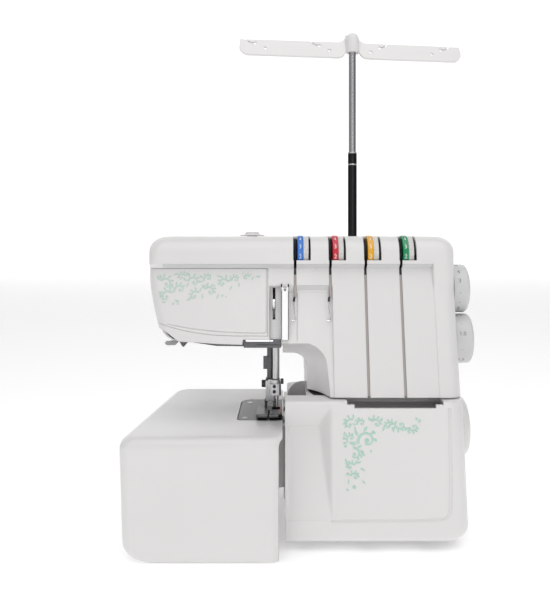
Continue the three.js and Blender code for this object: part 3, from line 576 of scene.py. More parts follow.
def pull_recess(grow):
    rings = []
    for z in [26 + 3 * i for i in range(25)] + [100 + 1.2 * i for i in range(17)]:
        reach = 11 * ((z - 25.5) / 74.5) ** 0.9 if z < 100 else 11 * (1.01 - (z - 100) / 19.2)
        inner = 39.5 - 12.5 * (reach / 11) ** 0.7
        floor = []
        for i in range(42):
            x = 39.5 - i
            share = 1 - eased((x - inner) / (39.5 - inner)) if x > inner else eased((x + 2.5) / 6)
            floor.append((x + (grow if x > inner else 0), reach * share + grow - 0.05))
        side = [(-2, -8), (39.6 + grow, -8)] + floor + [(-2.2, grow - 0.05)]
        rings.append([(x, y, z + (grow if z > 100 else 0)) for x, y in side])
    return skin(rings)


cover = machined(cover_envelope(0), [pull_recess(0), machined(cover_envelope(WALL), [pull_recess(WALL)])])
machined(cover, [block(x, x + 28, 5, 14.8, 9.5, 14.5) for x in (30, 80)], "UNION")
machined(cover, [block(50.6, 129, -5, 40, 120, 130), block(56.5, 122.9, -5, 40, 117.1, 130)])
machined(cover, [block(x - 7, x + 6, 4.6, 40, 0, 13) for x in (20, 70, 120)])
machined(cover, [block(-5, 141, 14.8, 40, 0, 13), bar("x", (11, 10.5), 2.3, 5, 139)])
rim = [(38, 25.2), (60, 25.4), (100, 25.8), (124, 26.4)] + arc((126, 35), 8.6, -90, 0, 8)
rim += [(135, 52), (134.6, 80), (134, 117)]
machined(cover, [groove(rim, lambda z: 0, 0.9, 1.5)])
cover.name = "looper_cover_shell"
done(cover, "looper_cover_body", "white_plastic", ["looper_cover"])


# %% Extension table
def table_envelope(inset):
    top, round_edge, foot_round, rings = 98 - inset, 9 - inset, 14, []
    heights = [1.5 - (3 if inset else 0)]
    heights += [1.5 + foot_round * (1 - math.cos(math.radians(10 * i))) for i in range(1, 10)]
    heights += [top - round_edge + round_edge * math.sin(math.radians(9 * i)) for i in range(11)]
    for z in heights:
        edge = drawn_in(z, top, round_edge) + inset
        foot = foot_round - math.sqrt(max(0, foot_round ** 2 - max(0, 1.5 + foot_round - z) ** 2))
        left, right = -133 + edge + (98 - z) * 0.03 + foot, -2 + (10 if inset else 0)
        front, back = -20 + edge, 168 - edge
        skew = 19 / (back - front) / (right - left)
        plan = outline(left, right, front, back, 10)
        rings.append([(x + skew * (y - front) * (right - x), y, z) for x, y in plan])
    return skin(rings)


def plate_outline(grow):
    left, right, front, back = -41 - grow, -1.6 + grow, 37 - grow, 112 + grow
    corners = arc((left + 12, back - 12), 12, 90, 180) + arc((left + 4, front + 4), 4, 180, 270)
    return [(left + 4, front), (right, front), (right, back)] + corners


table = shaped("extension_table_shell", table_envelope(0))
space = machined(shaped("space", table_envelope(3)), [block(-200, 20, -60, 200, -10, 95)], "INTERSECT")
machined(table, [space, prism("z", plate_outline(0.8), 90, 110), block(-33, 5, 36.2, 112.8, 90, 110),
                 block(-2.01, 20, -60, 200, -10, 120)])
done(table, "table", "white_plastic", ["extension_table"])

# %% [markdown]
# ## Tension dials
# Each dial is a coloured ring with white figures beside a ribbed white drum that the thumb turns. Behind
# it, two dark steel discs pinch the thread. The figures are cut from flat text and then wrapped round the
# ring, so they follow its curve as the printed ones do.

# %% Figures that wrap round a wheel
def figures(text, size, x, angle, centre, radius):
    words = bpy.data.curves.new("mark", "FONT")
    words.body, words.size, words.align_x, words.align_y = text, size, "CENTER", "CENTER"
    words.extrude, words.resolution_u = 0.06, 3
    flat = bpy.data.objects.new("mark", words)
    mesh = bpy.data.meshes.new_from_object(flat)
    bpy.data.objects.remove(flat)
    for vertex in mesh.vertices:
        u, v, lift = vertex.co
        turn = math.radians(angle) + v / radius
        reach = radius + (0.1 if lift > 0 else -0.2)
        vertex.co = placed(x + u, centre[0] - reach * math.cos(turn), centre[1] + reach * math.sin(turn))
    return shown("mark", mesh)


def joined(name, things):
    merged = bmesh.new()
    for thing in things:
        merged.from_mesh(thing.data)
        bpy.data.objects.remove(thing)
    mesh = bpy.data.meshes.new(name)
    merged.to_mesh(mesh)
    merged.free()
    return shown(name, mesh)


def ribbed(x0, x1, centre, radius, depth, ribs, round_end=0.4):
    rings = []
    steps = ribs * 4
    for x, shrink in ((x0, round_end), (x0 + round_end, 0), (x1 - round_end, 0), (x1, round_end)):
        ring = []
        for i in range(steps):
            reach = radius - shrink - (depth if i % 4 == 0 else 0)
            turn = 2 * math.pi * i / steps
            ring.append((x, centre[0] + reach * math.cos(turn), centre[1] + reach * math.sin(turn)))
        rings.append(ring)
    return skin(rings)


# %% The four dials
FINISHES |= {"white_ink": plastic("white_figure_ink", (0.9, 0.9, 0.9), 0.4, 0.1, 0.0001, 0),
             "grey_ink": plastic("grey_figure_ink", (0.22, 0.23, 0.24), 0.5, 0.1, 0.0001, 0),
             "dial_drum": plastic("dial_drum_plastic", (0.74, 0.735, 0.72), 0.4, 0.6, 0.0003)}
axis = (DIAL_Y, DIAL_Z)
for colour, x in DIALS.items():
    body, slot = f"dial_{colour}", f"{colour}_plastic"
    profile = [(9, x), (DIAL_RADIUS - 0.5, x), (DIAL_RADIUS, x + 0.4), (DIAL_RADIUS, x + 4.7),
               (DIAL_RADIUS - 0.3, x + 4.95), (9, x + 4.95)]
    ring = shaped(f"dial_ring_{colour}", turned("x", axis, profile, 96))
    done(ring, body, slot, [f"tension_dial_{colour}"])
    drum = shaped(f"dial_drum_{colour}", ribbed(x + 5, x + DIAL_WIDTH, axis, DIAL_RADIUS - 0.7, 0.35, 60))
    done(drum, body, slot, [], "dial_drum", 20)
    marks = [figures(str(k), 4.9, x + 2.45, 30 * k - 66, axis, DIAL_RADIUS) for k in range(1, 10)]
    marks += [figures(".", 4.4, x + 2.45, 30 * k - 53, axis, DIAL_RADIUS) for k in range(1, 9)]
    done(joined(f"dial_figures_{colour}", marks), body, slot, [], "white_ink")
    profile = [(4, x - 3.3), (13.5, x - 3.2), (14.6, x - 2.6), (13.2, x - 1.9), (14.6, x - 1.2),
               (13.5, x - 0.6), (4, x - 0.5)]
    done(shaped(f"tension_discs_{colour}", turned("x", axis, profile)), "machine", "dark_steel")

# %% [markdown]
# The thread drops from the discs into a slot. Its upper end opens into the dark inside of the arm, where a
# black sheet paints the shadow, and lower down the slot is only a shallow groove between two panels, so a
# liner closes it just behind the surface. The liner's grey-beige paints the shade in that groove, and black
# sheets behind the dial windows paint the shadow there.

# %% Slot liners
def sloped(x0, x1, low, high, near, far):
    return prism("x", [(front_y(low) + near, low), (front_y(low) + far, low), (front_y(high) + far, high),
                       (front_y(high) + near, high)], x0, x1)


FINISHES |= {"groove": plastic("groove_shade_plastic", (0.44, 0.40, 0.385), 0.5, 0.5, 0.0003, 0)}
for count, (colour, x) in enumerate(DIALS.items()):
    low = 205 if count < 2 else 125
    liner = shaped(f"slot_liner_{colour}", sloped(x - 3.0, x - 1.0, low, 224, 1.0, 2.3))
    done(liner, "machine", "white_plastic", [], "groove")
    dark = shaped(f"slot_shadow_{colour}", sloped(x - 3.05, x - 0.95, 224, 229.5, 0.6, 2.3))
    done(dark, "machine", "black_plastic")
    back = shaped(f"window_shadow_{colour}", block(x - 3.9, x + DIAL_WIDTH + 1.9, 67, 68.5, 226, 253.5))
    done(back, "machine", "black_plastic")

# %% [markdown]
# ## Dials on the side, handwheel and pressure dial
# The three wheels on the right are turned shapes with a crowned face. Their rims carry printed figures or
# finger grips. The pressure dial on top is a low round knob with a slot for a coin.

# %% Side wheels
def side_wheel(name, centre, radius, end, body, node):
    profile = [(4.6, 138), (4.6, 148.2), (radius - 0.6, 148.2), (radius, 148.8)]
    crown = radius - 3.2
    profile += arc((crown, end - 3.2), 3.2, 0, 90, 9)
    profile += [(crown * (1 - i / 6), end) for i in range(1, 6)] + [(0.5, end)]
    wheel = shaped(name, turned("x", centre, profile, 96))
    return done(wheel, body, "white_plastic", [node], "pale_grey_and_painted_shade")


side_wheel("stitch_length_wheel", LENGTH_WHEEL, 21.6, 162.8, "stitch_dial", "stitch_length_dial")
side_wheel("differential_wheel", RATIO_WHEEL, 21.9, 164.2, "differential_dial_body", "differential_dial")
lengths = {"3": [22], "2": [-50], "1": [-98], "4": [46], "R": [74], ".": [-2, -26, -74]}
marks = [figures(text, 7 if text == "." else 5.2, 153.5, angle, LENGTH_WHEEL, 21.6)
         for text, angles in lengths.items() for angle in angles]
done(joined("stitch_length_figures", marks), "stitch_dial", "white_plastic", [], "grey_ink")
ratios = {"1.0": [18], "1.5": [-50], "0.7": [72], "2.0": [-98], ".": [-16, 44]}
marks = [figures(text, 5.0, 154, angle, RATIO_WHEEL, 21.9)
         for text, angles in ratios.items() for angle in angles]
done(joined("differential_figures", marks), "differential_dial_body", "white_plastic", [], "grey_ink")

wheel = [(6.3, 149.5), (26, 149.5), (27, 150.6), (27, 159)]
wheel += arc((21, 159), 6, 10, 80, 7)
wheel += [(20 - 3 * i, 165.1 + 1.05 * math.sin(math.radians(13 * i))) for i in range(7)]
handwheel = shaped("handwheel_shell", turned("x", HANDWHEEL, wheel, 96))
grips = arc(HANDWHEEL, 28.4, 0, 348, 29)
machined(handwheel, [bar("x", grip, 2.1, 148, 158, 16) for grip in grips])
done(handwheel, "handwheel_shaft", "white_plastic", ["handwheel"])
print("side wheels made")

# %% Pressure dial
profile = [(4.8, 244), (4.8, 257.4), (10.8, 257.4), (11.5, 257.8), (11.3, 258.3), (7.2, 258.9), (6.6, 259.3),
           (6.3, 260.6), (5.6, 261.1), (0.4, 261.2)]
knob = shaped("pressure_knob", turned("z", KNOB, profile))
machined(knob, [block(-34.5, -25.5, 71.3, 72.7, 260.2, 262)])
done(knob, "pressure_dial_body", "white_plastic", ["pressure_dial"])

# %% [markdown]
# ## Thread stand
# A telescopic chrome tube carries a moulded bar with four thread stations, each an open hook beside a hole.
# The bar flares into its hub with soft curves. Hooks and holes are cut from the flat plate before it is
# leaned back and turned to its place.

# %% Guide bar
POLE = (74.4, 205)


def guide_arm(side):
    near = arc((17, 19.5), 10, 180, 270, 8)
    low = [(18, -9.5), (14.6, -9.1), (11.6, -7.8), (9.2, -5.4), (7.6, -2)]
    far = [(124, 9.0)] + arc((115, 0.5), 10, 0, -90, 8)
    plate = near + far + low + [(5, -4), (5, 19)]
    arm = shaped("arm", prism("y", plate, -1.2, 1.2))
    stations = (26, 36.8, 46), (96.6, 107.6, 118)
    for station in stations:
        second, hole, slot = [x - 5.5 if side > 0 else x for x in station]
        path = [(slot, 12), (slot - 0.5, 9), (slot - 3, 6.4), (hole + 3, 5.2), (hole, 4.8)]
        for (a, b), (c, d) in zip(path, path[1:]):
            ribbon = [(a - 0.7, b + 0.6), (c - 0.7, d - 0.7), (c + 0.9, d - 0.7), (a + 0.9, b + 0.6)]
            machined(arm, [prism("y", ribbon, -3, 3)])
        machined(arm, [bar("y", (second, -1), 1.8, -3, 3), bar("y", (hole, 4.8), 1.8, -3, 3)])
    lean = Matrix.Rotation(math.radians(-18), 4, "X")
    turn = Matrix.Rotation(math.radians(8), 4, "Z")
    for vertex in arm.data.vertices:
        local = Vector(vertex.co) * 1000 + Vector((CENTRE_X, CENTRE_Y, 0))
        local.x *= side
        spot = turn @ (lean @ local)
        vertex.co = placed(POLE[0] + spot.x, POLE[1] + spot.y, 461.5 + spot.z)
    if side < 0:
        arm.data.flip_normals()
    return arm


hub_profile = [(4.4, 459.6), (6.9, 459.6), (7.3, 460.4), (7.3, 473)]
hub_profile += arc((0, 474), 7.3, 0, 80, 8)
hub = shaped("hub", turned("z", POLE, hub_profile + [(0.3, 481.4)], 48))
machined(hub, [guide_arm(1), guide_arm(-1)], "UNION")
machined(hub, [bar("z", POLE, 4.4, 440, 466)])
hub.name = "thread_guide_plate"
done(hub, "guide_bar", "white_plastic", ["thread_guide_bar"])

# %% Tubes, collars and spool pins
FINISHES |= {"black_chrome": metal("black_chrome", (0.035, 0.035, 0.038), 0.14, (1, 1, 1), 0.02),
             "pole_chrome": metal("pole_chrome", (0.48, 0.48, 0.5), 0.13, (1, 1, 1), 0.02)}
profile = [(3.3, 240), (4.05, 240.2), (4.1, 240.6), (4.1, 463.6), (3.6, 464)]
upper = shaped("pole_upper_chrome", turned("z", POLE, profile, 48))
done(upper, "pole_upper", "chrome", ["pole_upper_tube"], "pole_chrome")
profile = [(4.45, 150), (5, 150), (5, 335.4), (4.7, 335.8), (4.7, 336.4), (5, 336.8), (5, 348), (4.75, 348.6),
           (4.45, 349)]
outer = shaped("pole_outer_chrome", turned("z", POLE, profile, 48))
machined(outer, [bar("z", POLE, 4.45, 152, 352, 48)])
done(outer, "machine", "black_plastic", ["pole_outer_tube"], "black_chrome")
for name, z in (("collar_lower", 336.1), ("collar_upper", 349.0)):
    profile = [(4.5, z - 0.9), (5.1, z - 0.7), (5.1, z + 0.5), (4.5, z + 0.7)]
    done(shaped(name, turned("z", POLE, profile, 48)), "machine", "chrome")
pins = {"outer_left": (-8, 186), "inner_left": (40, 216),
        "inner_right": (109, 216), "outer_right": (157, 186)}
for place, centre in pins.items():
    profile = [(2.9, 153), (2.9, 158.3), (19.4, 158.3), (20, 158.8), (20, 159.8), (19.2, 160.3),
               (13, 160.8), (12, 162.3), (9.2, 176), (8.4, 177), (3.6, 177.4), (3.0, 178.4), (2.7, 236),
               (2.0, 239), (0.4, 240)]
    cone = shaped(f"spool_pin_{place}_shell", turned("z", centre, profile, 48))
    machined(cone, [block(centre[0] - 16, centre[0] + 16, centre[1] - 0.7, centre[1] + 0.7, 176.2, 179)])
    done(cone, "machine", "white_plastic", [f"spool_pin_{place}"])

# %% [markdown]
# ## Take-up, thread guides and lamp
# A plate guards the take-up lever. Its chrome is painted as bright white plastic, a painted reflection, and
# dark strips along its sides paint the dark reflection there. It leans with the front of the head and ends in
# two prongs that lead the thread. Beside it, two bent wires with black tips guide the needle threads, and
# under the head sit the lamp in its dark bracket and the small thread cutter.

# %% Take-up guard and lever
FINISHES |= {"guard_painted_reflection": plastic("guard_plate_painted_reflection", (0.93, 0.93, 0.93), 0.16, 0.1, 0.0004, 0.6),
             "satin_steel": metal("satin_steel", (0.74, 0.74, 0.75), 0.34, (1, 1, 8), 0.15),
             "warm_brown_steel": metal("warm_steel", (0.42, 0.16, 0.07), 0.35, (1, 1, 6), 0.15)}


def leaning(x0, x1, near, far, low, high, pinch=0):
    corners = [(x0, low), (x1, low), (x1 - pinch, high), (x0 + pinch, high)]
    return skin([[(x, front_y(z) + off, z) for x, z in corners] for off in (near, far)])


tray = shaped("take_up_slot_tray", leaning(-13.3, -2.4, 2.7, 6.9, 168, 214.8))
machined(tray, [leaning(-12.5, -3.2, 2, 5.9, 166, 214.2), block(-10.6, -8.3, 20, 50, 186, 212.6)])
done(tray, "machine", "white_plastic")
# White plastic paints the chrome plate's bright reflection, and the dark steel strips paint the dark
# reflection along its sides.
guard = shaped("take_up_guard_plate", leaning(-2.55, 2.55, -1.0, 0.2, 170, 212.5))
machined(guard, [leaning(x, x + 1.25, -1.9, -0.5, 212, 216, 0.1) for x in (-2.7, 1.45)], "UNION")
machined(guard, [bar("y", (0, 211.2), 1.1, 20, 40, 24)])
done(guard, "machine", "chrome", ["take_up_guard"], "guard_painted_reflection")
for name, x in (("left", -3.15), ("right", 2.55)):
    edge = leaning(x, x + 0.6, -0.9, 1.6, 170.3, 210)
    tip = leaning(x - 0.4, x + 0.9, -2.2, -0.3, 213.6, 216.2)
    done(shaped(f"take_up_guard_dark_reflection_{name}", edge), "machine", "dark_steel")
    done(shaped(f"take_up_prong_tip_{name}", tip), "machine", "black_plastic")
hook = [(27, 195), (33, 193.8), (40, 193.6), (48, 195.4), (55, 197), (55, 201), (48, 199.6), (41, 198),
        (34, 197.6), (30.5, 199), (28.5, 202), (26.4, 204), (24.2, 203.6), (23.4, 202), (24.6, 198)]
lever = shaped("take_up_hook", prism("x", hook, -10.4, -8.6))
machined(lever, [bar("x", (27.5, 199.6), 1.0, -12, -7, 20)])
machined(lever, [block(-16.2, -8.7, 51, 55, 197, 201), block(-16.2, -14.4, 51, 71, 197, 201),
                 bar("x", (70, 199), 3, -16.2, -13.6)], "UNION")
done(lever, "take_up", "chrome", ["take_up_lever"])


# %% Wires with black tips
def tube(points, radius, sides=12):
    path = [Vector(p) for p in points]
    rings, side = [], Vector((1, 0, 0))
    for i, here in enumerate(path):
        along = (path[min(i + 1, len(path) - 1)] - path[max(i - 1, 0)]).normalized()
        side = (side - along * side.dot(along)).normalized()
        other = along.cross(side)
        rings.append([tuple(here + radius * (math.cos(t) * side + math.sin(t) * other))
                      for t in [2 * math.pi * k / sides for k in range(sides)]])
    return skin(rings)


def smooth_path(points, steps=6):
    path = []
    for i in range(len(points) - 1):
        ends = [Vector(points[max(0, min(len(points) - 1, k))]) for k in (i - 1, i, i + 1, i + 2)]
        for j in range(steps):
            t = j / steps
            path.append(0.5 * (2 * ends[1] + (ends[2] - ends[0]) * t
                               + (2 * ends[0] - 5 * ends[1] + 4 * ends[2] - ends[3]) * t * t
                               + (3 * ends[1] - ends[0] - 3 * ends[2] + ends[3]) * t ** 3))
    return path + [Vector(points[-1])]


for name, x in (("left", 8.1), ("right", 37.8)):
    bends = [(x, 32.6, 204), (x, 29.6, 204.6), (x - 0.5, 27.7, 201.5), (x - 0.2, 26.6, 194),
             (x + 0.9, 26, 187.6), (x + 0.5, 25.7, 185.6), (x - 1.2, 25.7, 185.2), (x - 3.2, 25.9, 185.9)]
    wire = shaped(f"thread_wire_{name}", tube(smooth_path(bends), 0.5))
    done(wire, "machine", "chrome", [f"thread_guide_wire_{name}"])
    tip = [(x - 0.05, 30.6, 204.4), (x - 0.1, 29, 204.5), (x - 0.4, 27.9, 203.2), (x - 0.5, 27.4, 201.4)]
    done(shaped(f"thread_wire_tip_{name}", tube(smooth_path(tip), 0.95)), "machine", "black_plastic")

# %% Lamp, bracket and thread cutter
FINISHES["dark_grey"] = plastic("dark_grey_plastic", (0.13, 0.13, 0.14), 0.35, 0.5, 0.0006, 0.1)
bracket = shaped("lamp_bracket", block(-35, -3.4, 23.2, 43.4, 162.7, 169.8))
machined(bracket, [block(-33.6, -9.8, 20, 25.4, 167.5, 169.3), block(-24, -5, 20, 23.8, 165.0, 165.5)])
done(bracket, "machine", "clear_plastic", [], "dark_grey")
lamp_glass, lamp_shader, lamp_place = finish("lamp_glass")
lamp_shader.inputs["Emission Strength"].default_value = 1.1
plug(lamp_shader, Emission_Color=lamp_place.noise(60).between((0.92, 0.95, 1), (1, 1, 1)),
     Base_Color=(0.9, 0.9, 0.9, 1))
FINISHES["lamp_glass"] = lamp_glass
strip = arc((24.9, 168.4), 0.6, 250, 110, 8) + [(27, 169), (27, 167.8)]
lens = shaped("lamp_strip", prism("x", strip, -33.2, -10.2))
done(lens, "machine", "clear_plastic", ["light_lens"], "lamp_glass")
tab = [(-104.2, 163.2)] + arc((-103, 164.2), 1.4, 200, 100, 5)
tab += [(-93.6, 166.4), (-93, 164.8), (-95.4, 162.4), (-102.4, 162.2)]
cutter = shaped("thread_cutter_tab", prism("y", tab, 40, 43.4))
done(cutter, "machine", "grey_plastic", ["thread_cutter"], "shaded_plastic")
notch = [(-94.4, 168.9), (-92.8, 168.9), (-88.3, 164.4), (-85, 167.6), (-82.4, 168.6), (-81, 167.4),
         (-84.6, 164.8), (-88.2, 160.6), (-89.6, 161.2)]
done(shaped("thread_cutter_blade", prism("y", notch, 41, 42.6)), "machine", "dark_steel")
under = [(-80, 163.8), (-60, 160.9), (-3, 160.1), (-3, 163.4), (-12, 164.6), (-79, 164.6)]
plate = shaped("head_underside_plate", prism("y", under, 44.6, 111))
machined(plate, [block(-20, -2, 54, 90, 150, 170)])
done(plate, "machine", "dark_steel", ["head_plate"])

# %% [markdown]
# ## Needle zone
# Two ground bars come down under the head. The thin bright one carries the clamp with its two set screws
# and needles, and the dark one carries the presser foot. The foot snaps onto a cross pin, so it can rock.

# %% Needle bar and clamp
NEEDLES = {"left": (-9.4, 64.6), "right": (-6.6, 62.6)}
profile = [(2.6, 128.1), (3, 128.5), (3, 205.6), (2.6, 206)]
needle_bar = shaped("needle_bar_ground", turned("z", (-8, 64), profile, 48))
machined(needle_bar, [block(-13.2, -5, 58, 70, 184, 191)], "UNION")
done(needle_bar, "needle_bar_body", "steel", ["needle_bar"], "satin_steel")
clamp = shaped("needle_clamp_block", prism("z", outline(-13.2, -3.6, 57.5, 70.5, 2), 114.4, 124.6))
machined(clamp, [prism("z", outline(-12.4, -4.2, 58.6, 69.6, 3.4), 124, 127.9)], "UNION")
machined(clamp, [bar("z", spot, 1.2, 110, 124) for spot in NEEDLES.values()])
machined(clamp, [block(-14, -3, 56, 58.3, 124.5, 125.3),
                 prism("y", [(-14, 113), (-10.8, 113), (-14, 116.4)], 50, 80)])
done(clamp, "needle_bar_body", "steel", ["needle_clamp"], "satin_steel")
for name, z in (("upper", 122.6), ("lower", 118.0)):
    screw = shaped(f"clamp_screw_{name}", turned("y", (-9.6, z), [(1.2, 56.2), (1.45, 56.4), (1.45, 58)], 32))
    machined(screw, [bar("y", (-9.6, z), 0.75, 55, 57.2, 6)])
    done(screw, "needle_bar_body", "steel", [], "black_plastic")
knob = shaped("clamp_knob", ribbed(-3.9, -1.3, (64, 126), 2.5, 0.25, 18))
machined(knob, [bar("x", (64, 126), 1.0, -2.2, 0)])
done(knob, "needle_bar_body", "steel", [], "dark_steel")
profile = [(0.05, 88.4), (0.3, 90), (0.5, 92.4), (0.5, 110), (0.95, 112), (0.95, 123.7)]
for side, spot in NEEDLES.items():
    needle = shaped(f"needle_{side}_ground", turned("z", spot, profile, 24))
    done(needle, "needle_bar_body", "chrome", [f"needle_{side}"])

# %% Presser bar, holder and foot
PRESSER_BAR = (-13.4, 78)
profile = [(2.9, 122.5), (3.25, 123), (3.25, 228.6), (2.9, 229)]
presser = shaped("presser_bar_ground", turned("z", PRESSER_BAR, profile, 48))
machined(presser, [prism("z", outline(-20, -12, 74.5, 81.5, 0.8), 135, 146)], "UNION")
done(presser, "presser_bar_body", "dark_steel", ["presser_bar"])
holder_side = [(72, 106.4), (72, 124.8), (73.6, 126.4), (82.4, 126.4), (84, 124.8), (84, 110), (80, 106),
               (74.4, 105.4)]
holder = shaped("foot_holder_block", prism("x", holder_side, -17.8, -9.2))
machined(holder, [block(-15.5, -11.5, 73, 79, 103.4, 110)], "UNION")
machined(holder, [bar("z", PRESSER_BAR, 3.55, 122, 140), bar("x", (76, 106), 1.4, -18, -8),
                  block(-15.9, -11.1, 71, 72.8, 112, 128), bar("y", (-13.5, 116.5), 1.5, 70, 74)])
done(holder, "presser_bar_body", "steel", ["foot_holder"], "satin_steel")
holder_knob = shaped("foot_holder_knob", ribbed(-21.6, -17.6, (78, 121), 3.4, 0.3, 24))
machined(holder_knob, [block(-23, -21, 70, 86, 120.5, 121.5)])
done(holder_knob, "presser_bar_body", "steel", [], "dark_steel")
foot_side = [(40, 101.6), (34.4, 103.8)] + arc((33.6, 102.2), 1.6, 120, 220, 5)
foot_side += [(38, 99.2), (76, 99.2), (82, 100.1), (82, 101.6)]
foot = shaped("presser_foot_sole", prism("x", foot_side, -25, -2.6))
ear = [(71.8, 101), (71.8, 105.2)] + arc((75.9, 105.4), 2.2, 160, 20, 8) + [(80.2, 105), (80.2, 101)]
machined(foot, [prism("x", ear, -18.6, -16.2), prism("x", ear, -10.8, -8.4)], "UNION")
machined(foot, [block(-11.8, -4, 59, 69, 98, 104), block(-15.2, -13.6, 30, 58, 98, 105),
                prism("z", [(-2, 30), (-2, 44), (-6.5, 30)], 98, 106),
                prism("z", [(-26, 30), (-26, 42), (-22.5, 30)], 98, 106)])
done(foot, "presser_foot_body", "steel", ["presser_foot"], "dark_steel")
profile = [(0.8, -18.9), (1.0, -18.6), (1.0, -8.2), (0.8, -8)]
pin = shaped("presser_foot_pin", turned("x", (76, 106), profile, 24))
done(pin, "presser_foot_body", "steel", [], "chrome")
# The stitch finger's steel is tinted warm brown.
finger = shaped("stitch_finger", block(-4.2, -3.3, 46, 70, 99.5, 102.4))
done(finger, "presser_foot_body", "steel", [], "warm_brown_steel")
profile = [(2.0, 97.2), (2.6, 97.9), (2.5, 98.25), (1.6, 98.5)]
for name, x, y in (("front", -35, 44), ("back", -33, 100)):
    screw = shaped(f"plate_screw_{name}", turned("z", (x, y), profile, 40))
    machined(screw, [block(x - 3, x + 3, y - 0.35, y + 0.35, 98.0, 99)])
    done(screw, "machine", "chrome", [], "satin_steel")

# %% [markdown]
# ## Printed decoration
# The face cover and the looper cover carry a pale green print of curling stems, leaves and buds. It is
# built as very thin geometry that lies on the curved fronts, so it moves with its cover and needs no image.
# Every curl is the same small recipe: a stem that tapers along a spiral, leaves on its outside and a bud at
# its end.

# %% Leaves, curls and buds
FINISHES |= {"print": plastic("green_print", (0.47, 0.69, 0.59), 0.4, 0.2, 0.0001, 0),
             "pale_print": plastic("pale_green_print", (0.56, 0.69, 0.62), 0.4, 0.2, 0.0001, 0)}


def leaf(x, z, angle, length, width):
    turn = math.radians(angle)
    side = [(length * t, 0.5 * width * math.sin(math.pi * t) ** 0.8) for t in [i / 6 for i in range(7)]]
    shape = side + [(a, -0.6 * b) for a, b in side[-2:0:-1]]
    u, v = math.cos(turn), math.sin(turn)
    return [(x + a * u - b * v, z + a * v + b * u) for a, b in shape]


def curl(x, z, radius, start, sweep):
    stem, width = [], 0.13 * radius + 0.25
    for i in range(15):
        t, turn = i / 14, math.radians(start + sweep * i / 14)
        stem.append((x, z, radius * (1 - 0.6 * t), turn, width * (1 - 0.55 * t)))
    outer = [(a + (r + w) * math.cos(t), b + (r + w) * math.sin(t)) for a, b, r, t, w in stem]
    inner = [(a + (r - w) * math.cos(t), b + (r - w) * math.sin(t)) for a, b, r, t, w in stem]
    lean = 90 if sweep > 0 else -90
    shapes = [outer + inner[::-1]]
    for i in (0, 2, 4, 6, 8):
        px, pz = outer[i]
        ahead = math.degrees(stem[i][3]) + lean * (0.35 + 0.05 * i)
        shapes.append(leaf(px, pz, ahead, radius * (0.92 - 0.05 * i), radius * 0.42))
    return shapes + [arc((stem[-1][0], stem[-1][1]), 0.26 * radius, 0, 330, 11)]


def printed(name, shapes, surface, body, ink):
    things = []
    for count, shape in enumerate(shapes):
        skins = [[(x, surface(z) + off, z) for x, z in shape] for off in (-0.13 - 0.003 * count, 0.2)]
        things.append(shaped("mark", skin(skins)))
    return done(joined(name, things), body, "white_plastic", [], ink)


# %% The print on the face cover
def spray(curls, leaves, buds):
    shapes = []
    for x, z, radius, start, sweep in curls:
        shapes += curl(x, z, radius, start, sweep)
    shapes += [leaf(*row) for row in leaves]
    return shapes + [arc((x, z), r, 0, 330, 11) for x, z, r in buds]


head_curls = [(-102, 216, 5.4, 150, -250), (-101, 205.5, 4.8, 60, 240), (-90, 211, 5.0, 200, -240),
              (-89, 221.4, 3.6, 20, 230), (-78.5, 217.5, 5.0, 170, -260), (-77, 206, 4.4, 40, 240),
              (-66, 220.6, 3.8, 210, -240), (-64.5, 209.5, 4.6, 150, -240), (-53, 216.4, 4.6, 20, 250),
              (-42.5, 219.4, 3.6, 190, -230), (-33, 221, 2.8, 30, 220)]
head_leaves = [(-108, 224.5, -70, 5, 1.9), (-96, 223.5, 20, 4.6, 1.8), (-108, 210, -60, 4.6, 1.8),
               (-94.5, 202.6, -20, 5, 2), (-84, 202, 30, 5.2, 2), (-84.6, 213.4, 60, 4.4, 1.7),
               (-71, 213, 30, 5, 1.9), (-70, 203.4, 100, 4.6, 1.8), (-58.4, 203.2, 70, 5.2, 1.8),
               (-59, 223.2, -20, 4.4, 1.6), (-47.5, 210.6, 60, 4.8, 1.7), (-39, 213.6, 100, 4.2, 1.5),
               (-28.4, 219, 70, 4.2, 1.5), (-26, 222.6, -10, 3.6, 1.3), (-105, 200.4, 10, 4, 1.6)]
head_buds = [(-95.4, 199.6, 1.0), (-72.6, 222.6, 0.9), (-91.4, 199.4, 0.7), (-53.4, 206.4, 0.9),
             (-50.4, 205.4, 0.6), (-22.4, 222.4, 1.0), (-84.4, 225, 0.8), (-60.4, 214.6, 0.7),
             (-36.6, 225, 0.6)]
head_spray = spray(head_curls, head_leaves, head_buds)
printed("face_cover_print", head_spray, front_y, "face_cover_body", "pale_print")

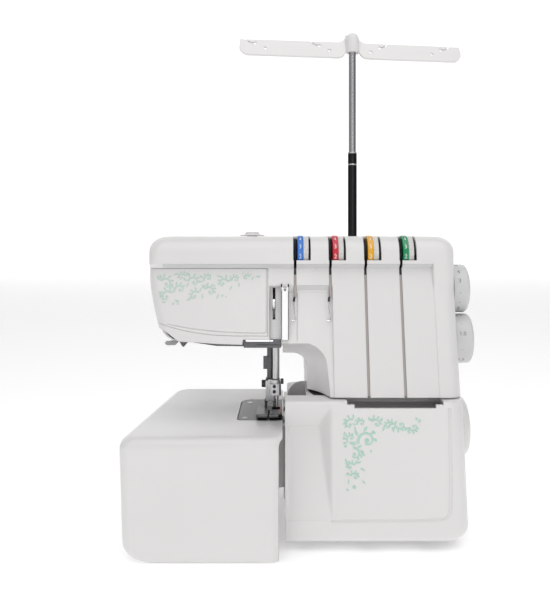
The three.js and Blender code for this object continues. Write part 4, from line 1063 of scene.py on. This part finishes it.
# %% The print on the looper cover
door_curls = [(66.5, 91.2, 7.4, 200, -320), (53, 104, 4.6, 60, 220), (62, 104.6, 3.6, 190, -220),
              (74, 104.4, 4.4, 150, -230), (84.5, 102.6, 4.0, 20, 230), (94, 104.4, 4.8, 170, 230),
              (104.6, 102.6, 4.2, 190, 220), (54, 92.6, 4.0, 220, -220), (56.4, 80, 5.2, 100, -240),
              (53.2, 69.4, 3.6, 30, 220), (56.6, 61.2, 3.6, 160, -230)]
door_leaves = [(48.6, 108.8, -80, 5, 1.9), (57.6, 98.4, 100, 4.4, 1.7), (68.4, 108.6, -20, 4.4, 1.7),
               (79.4, 98.4, 70, 5, 1.8), (88.6, 97.6, 110, 5, 1.7), (99.6, 97.8, 60, 4.8, 1.6),
               (48.4, 98.6, -100, 4.2, 1.6), (61.6, 81.4, -40, 4.8, 1.8), (48.8, 76.4, -70, 4.6, 1.7),
               (61.8, 74, 200, 4.2, 1.6), (61, 68.6, -30, 4.6, 1.7), (49, 63.2, 10, 3.6, 1.4),
               (51.4, 55.6, 80, 4, 1.5), (62.4, 58.4, -40, 4, 1.4)]
door_buds = [(109.4, 107, 1.3), (106.8, 108.8, 0.9), (59.8, 108.6, 1.2), (78.6, 108.4, 0.9),
             (49.2, 86.6, 1.2), (47.6, 92.4, 0.8), (66.6, 90.4, 1.6), (56.2, 53.2, 1.5), (50.8, 51, 0.9),
             (71.6, 98.4, 0.9), (69.8, 82.4, 0.9)]
door_spray = spray(door_curls, door_leaves, door_buds)
printed("looper_cover_print", door_spray, lambda z: 0, "looper_cover_body", "print")

# %% Floor
def paper_sheet(name, finish_name, corners, glow):
    mesh = bpy.data.meshes.new(name)
    mesh.from_pydata(corners, [], [(0, 1, 2, 3)])
    material, shader, place = finish(finish_name)
    shader.inputs["Emission Color"].default_value = (1, 1, 1, 1)
    shader.inputs["Emission Strength"].default_value = glow
    mesh.materials.append(material)
    return shown(name, mesh), shader, place


floor, floor_shader, floor_place = paper_sheet(
    "studio_floor", "pale_floor", [(-4, -3, 0), (4, -3, 0), (4, 4, 0), (-4, 4, 0)], 0.32)
floor_shader.inputs["Roughness"].default_value = 0.8
plug(floor_shader, Base_Color=floor_place.noise(3).between((0.93, 0.93, 0.93), (0.95, 0.95, 0.95)))
backdrop = paper_sheet("studio_backdrop", "backdrop_paper",
                       [(-7, 3.9, -0.5), (7, 3.9, -0.5), (7, 3.9, 6), (-7, 3.9, 6)], 0.7)[0]
print("floor and backdrop placed")
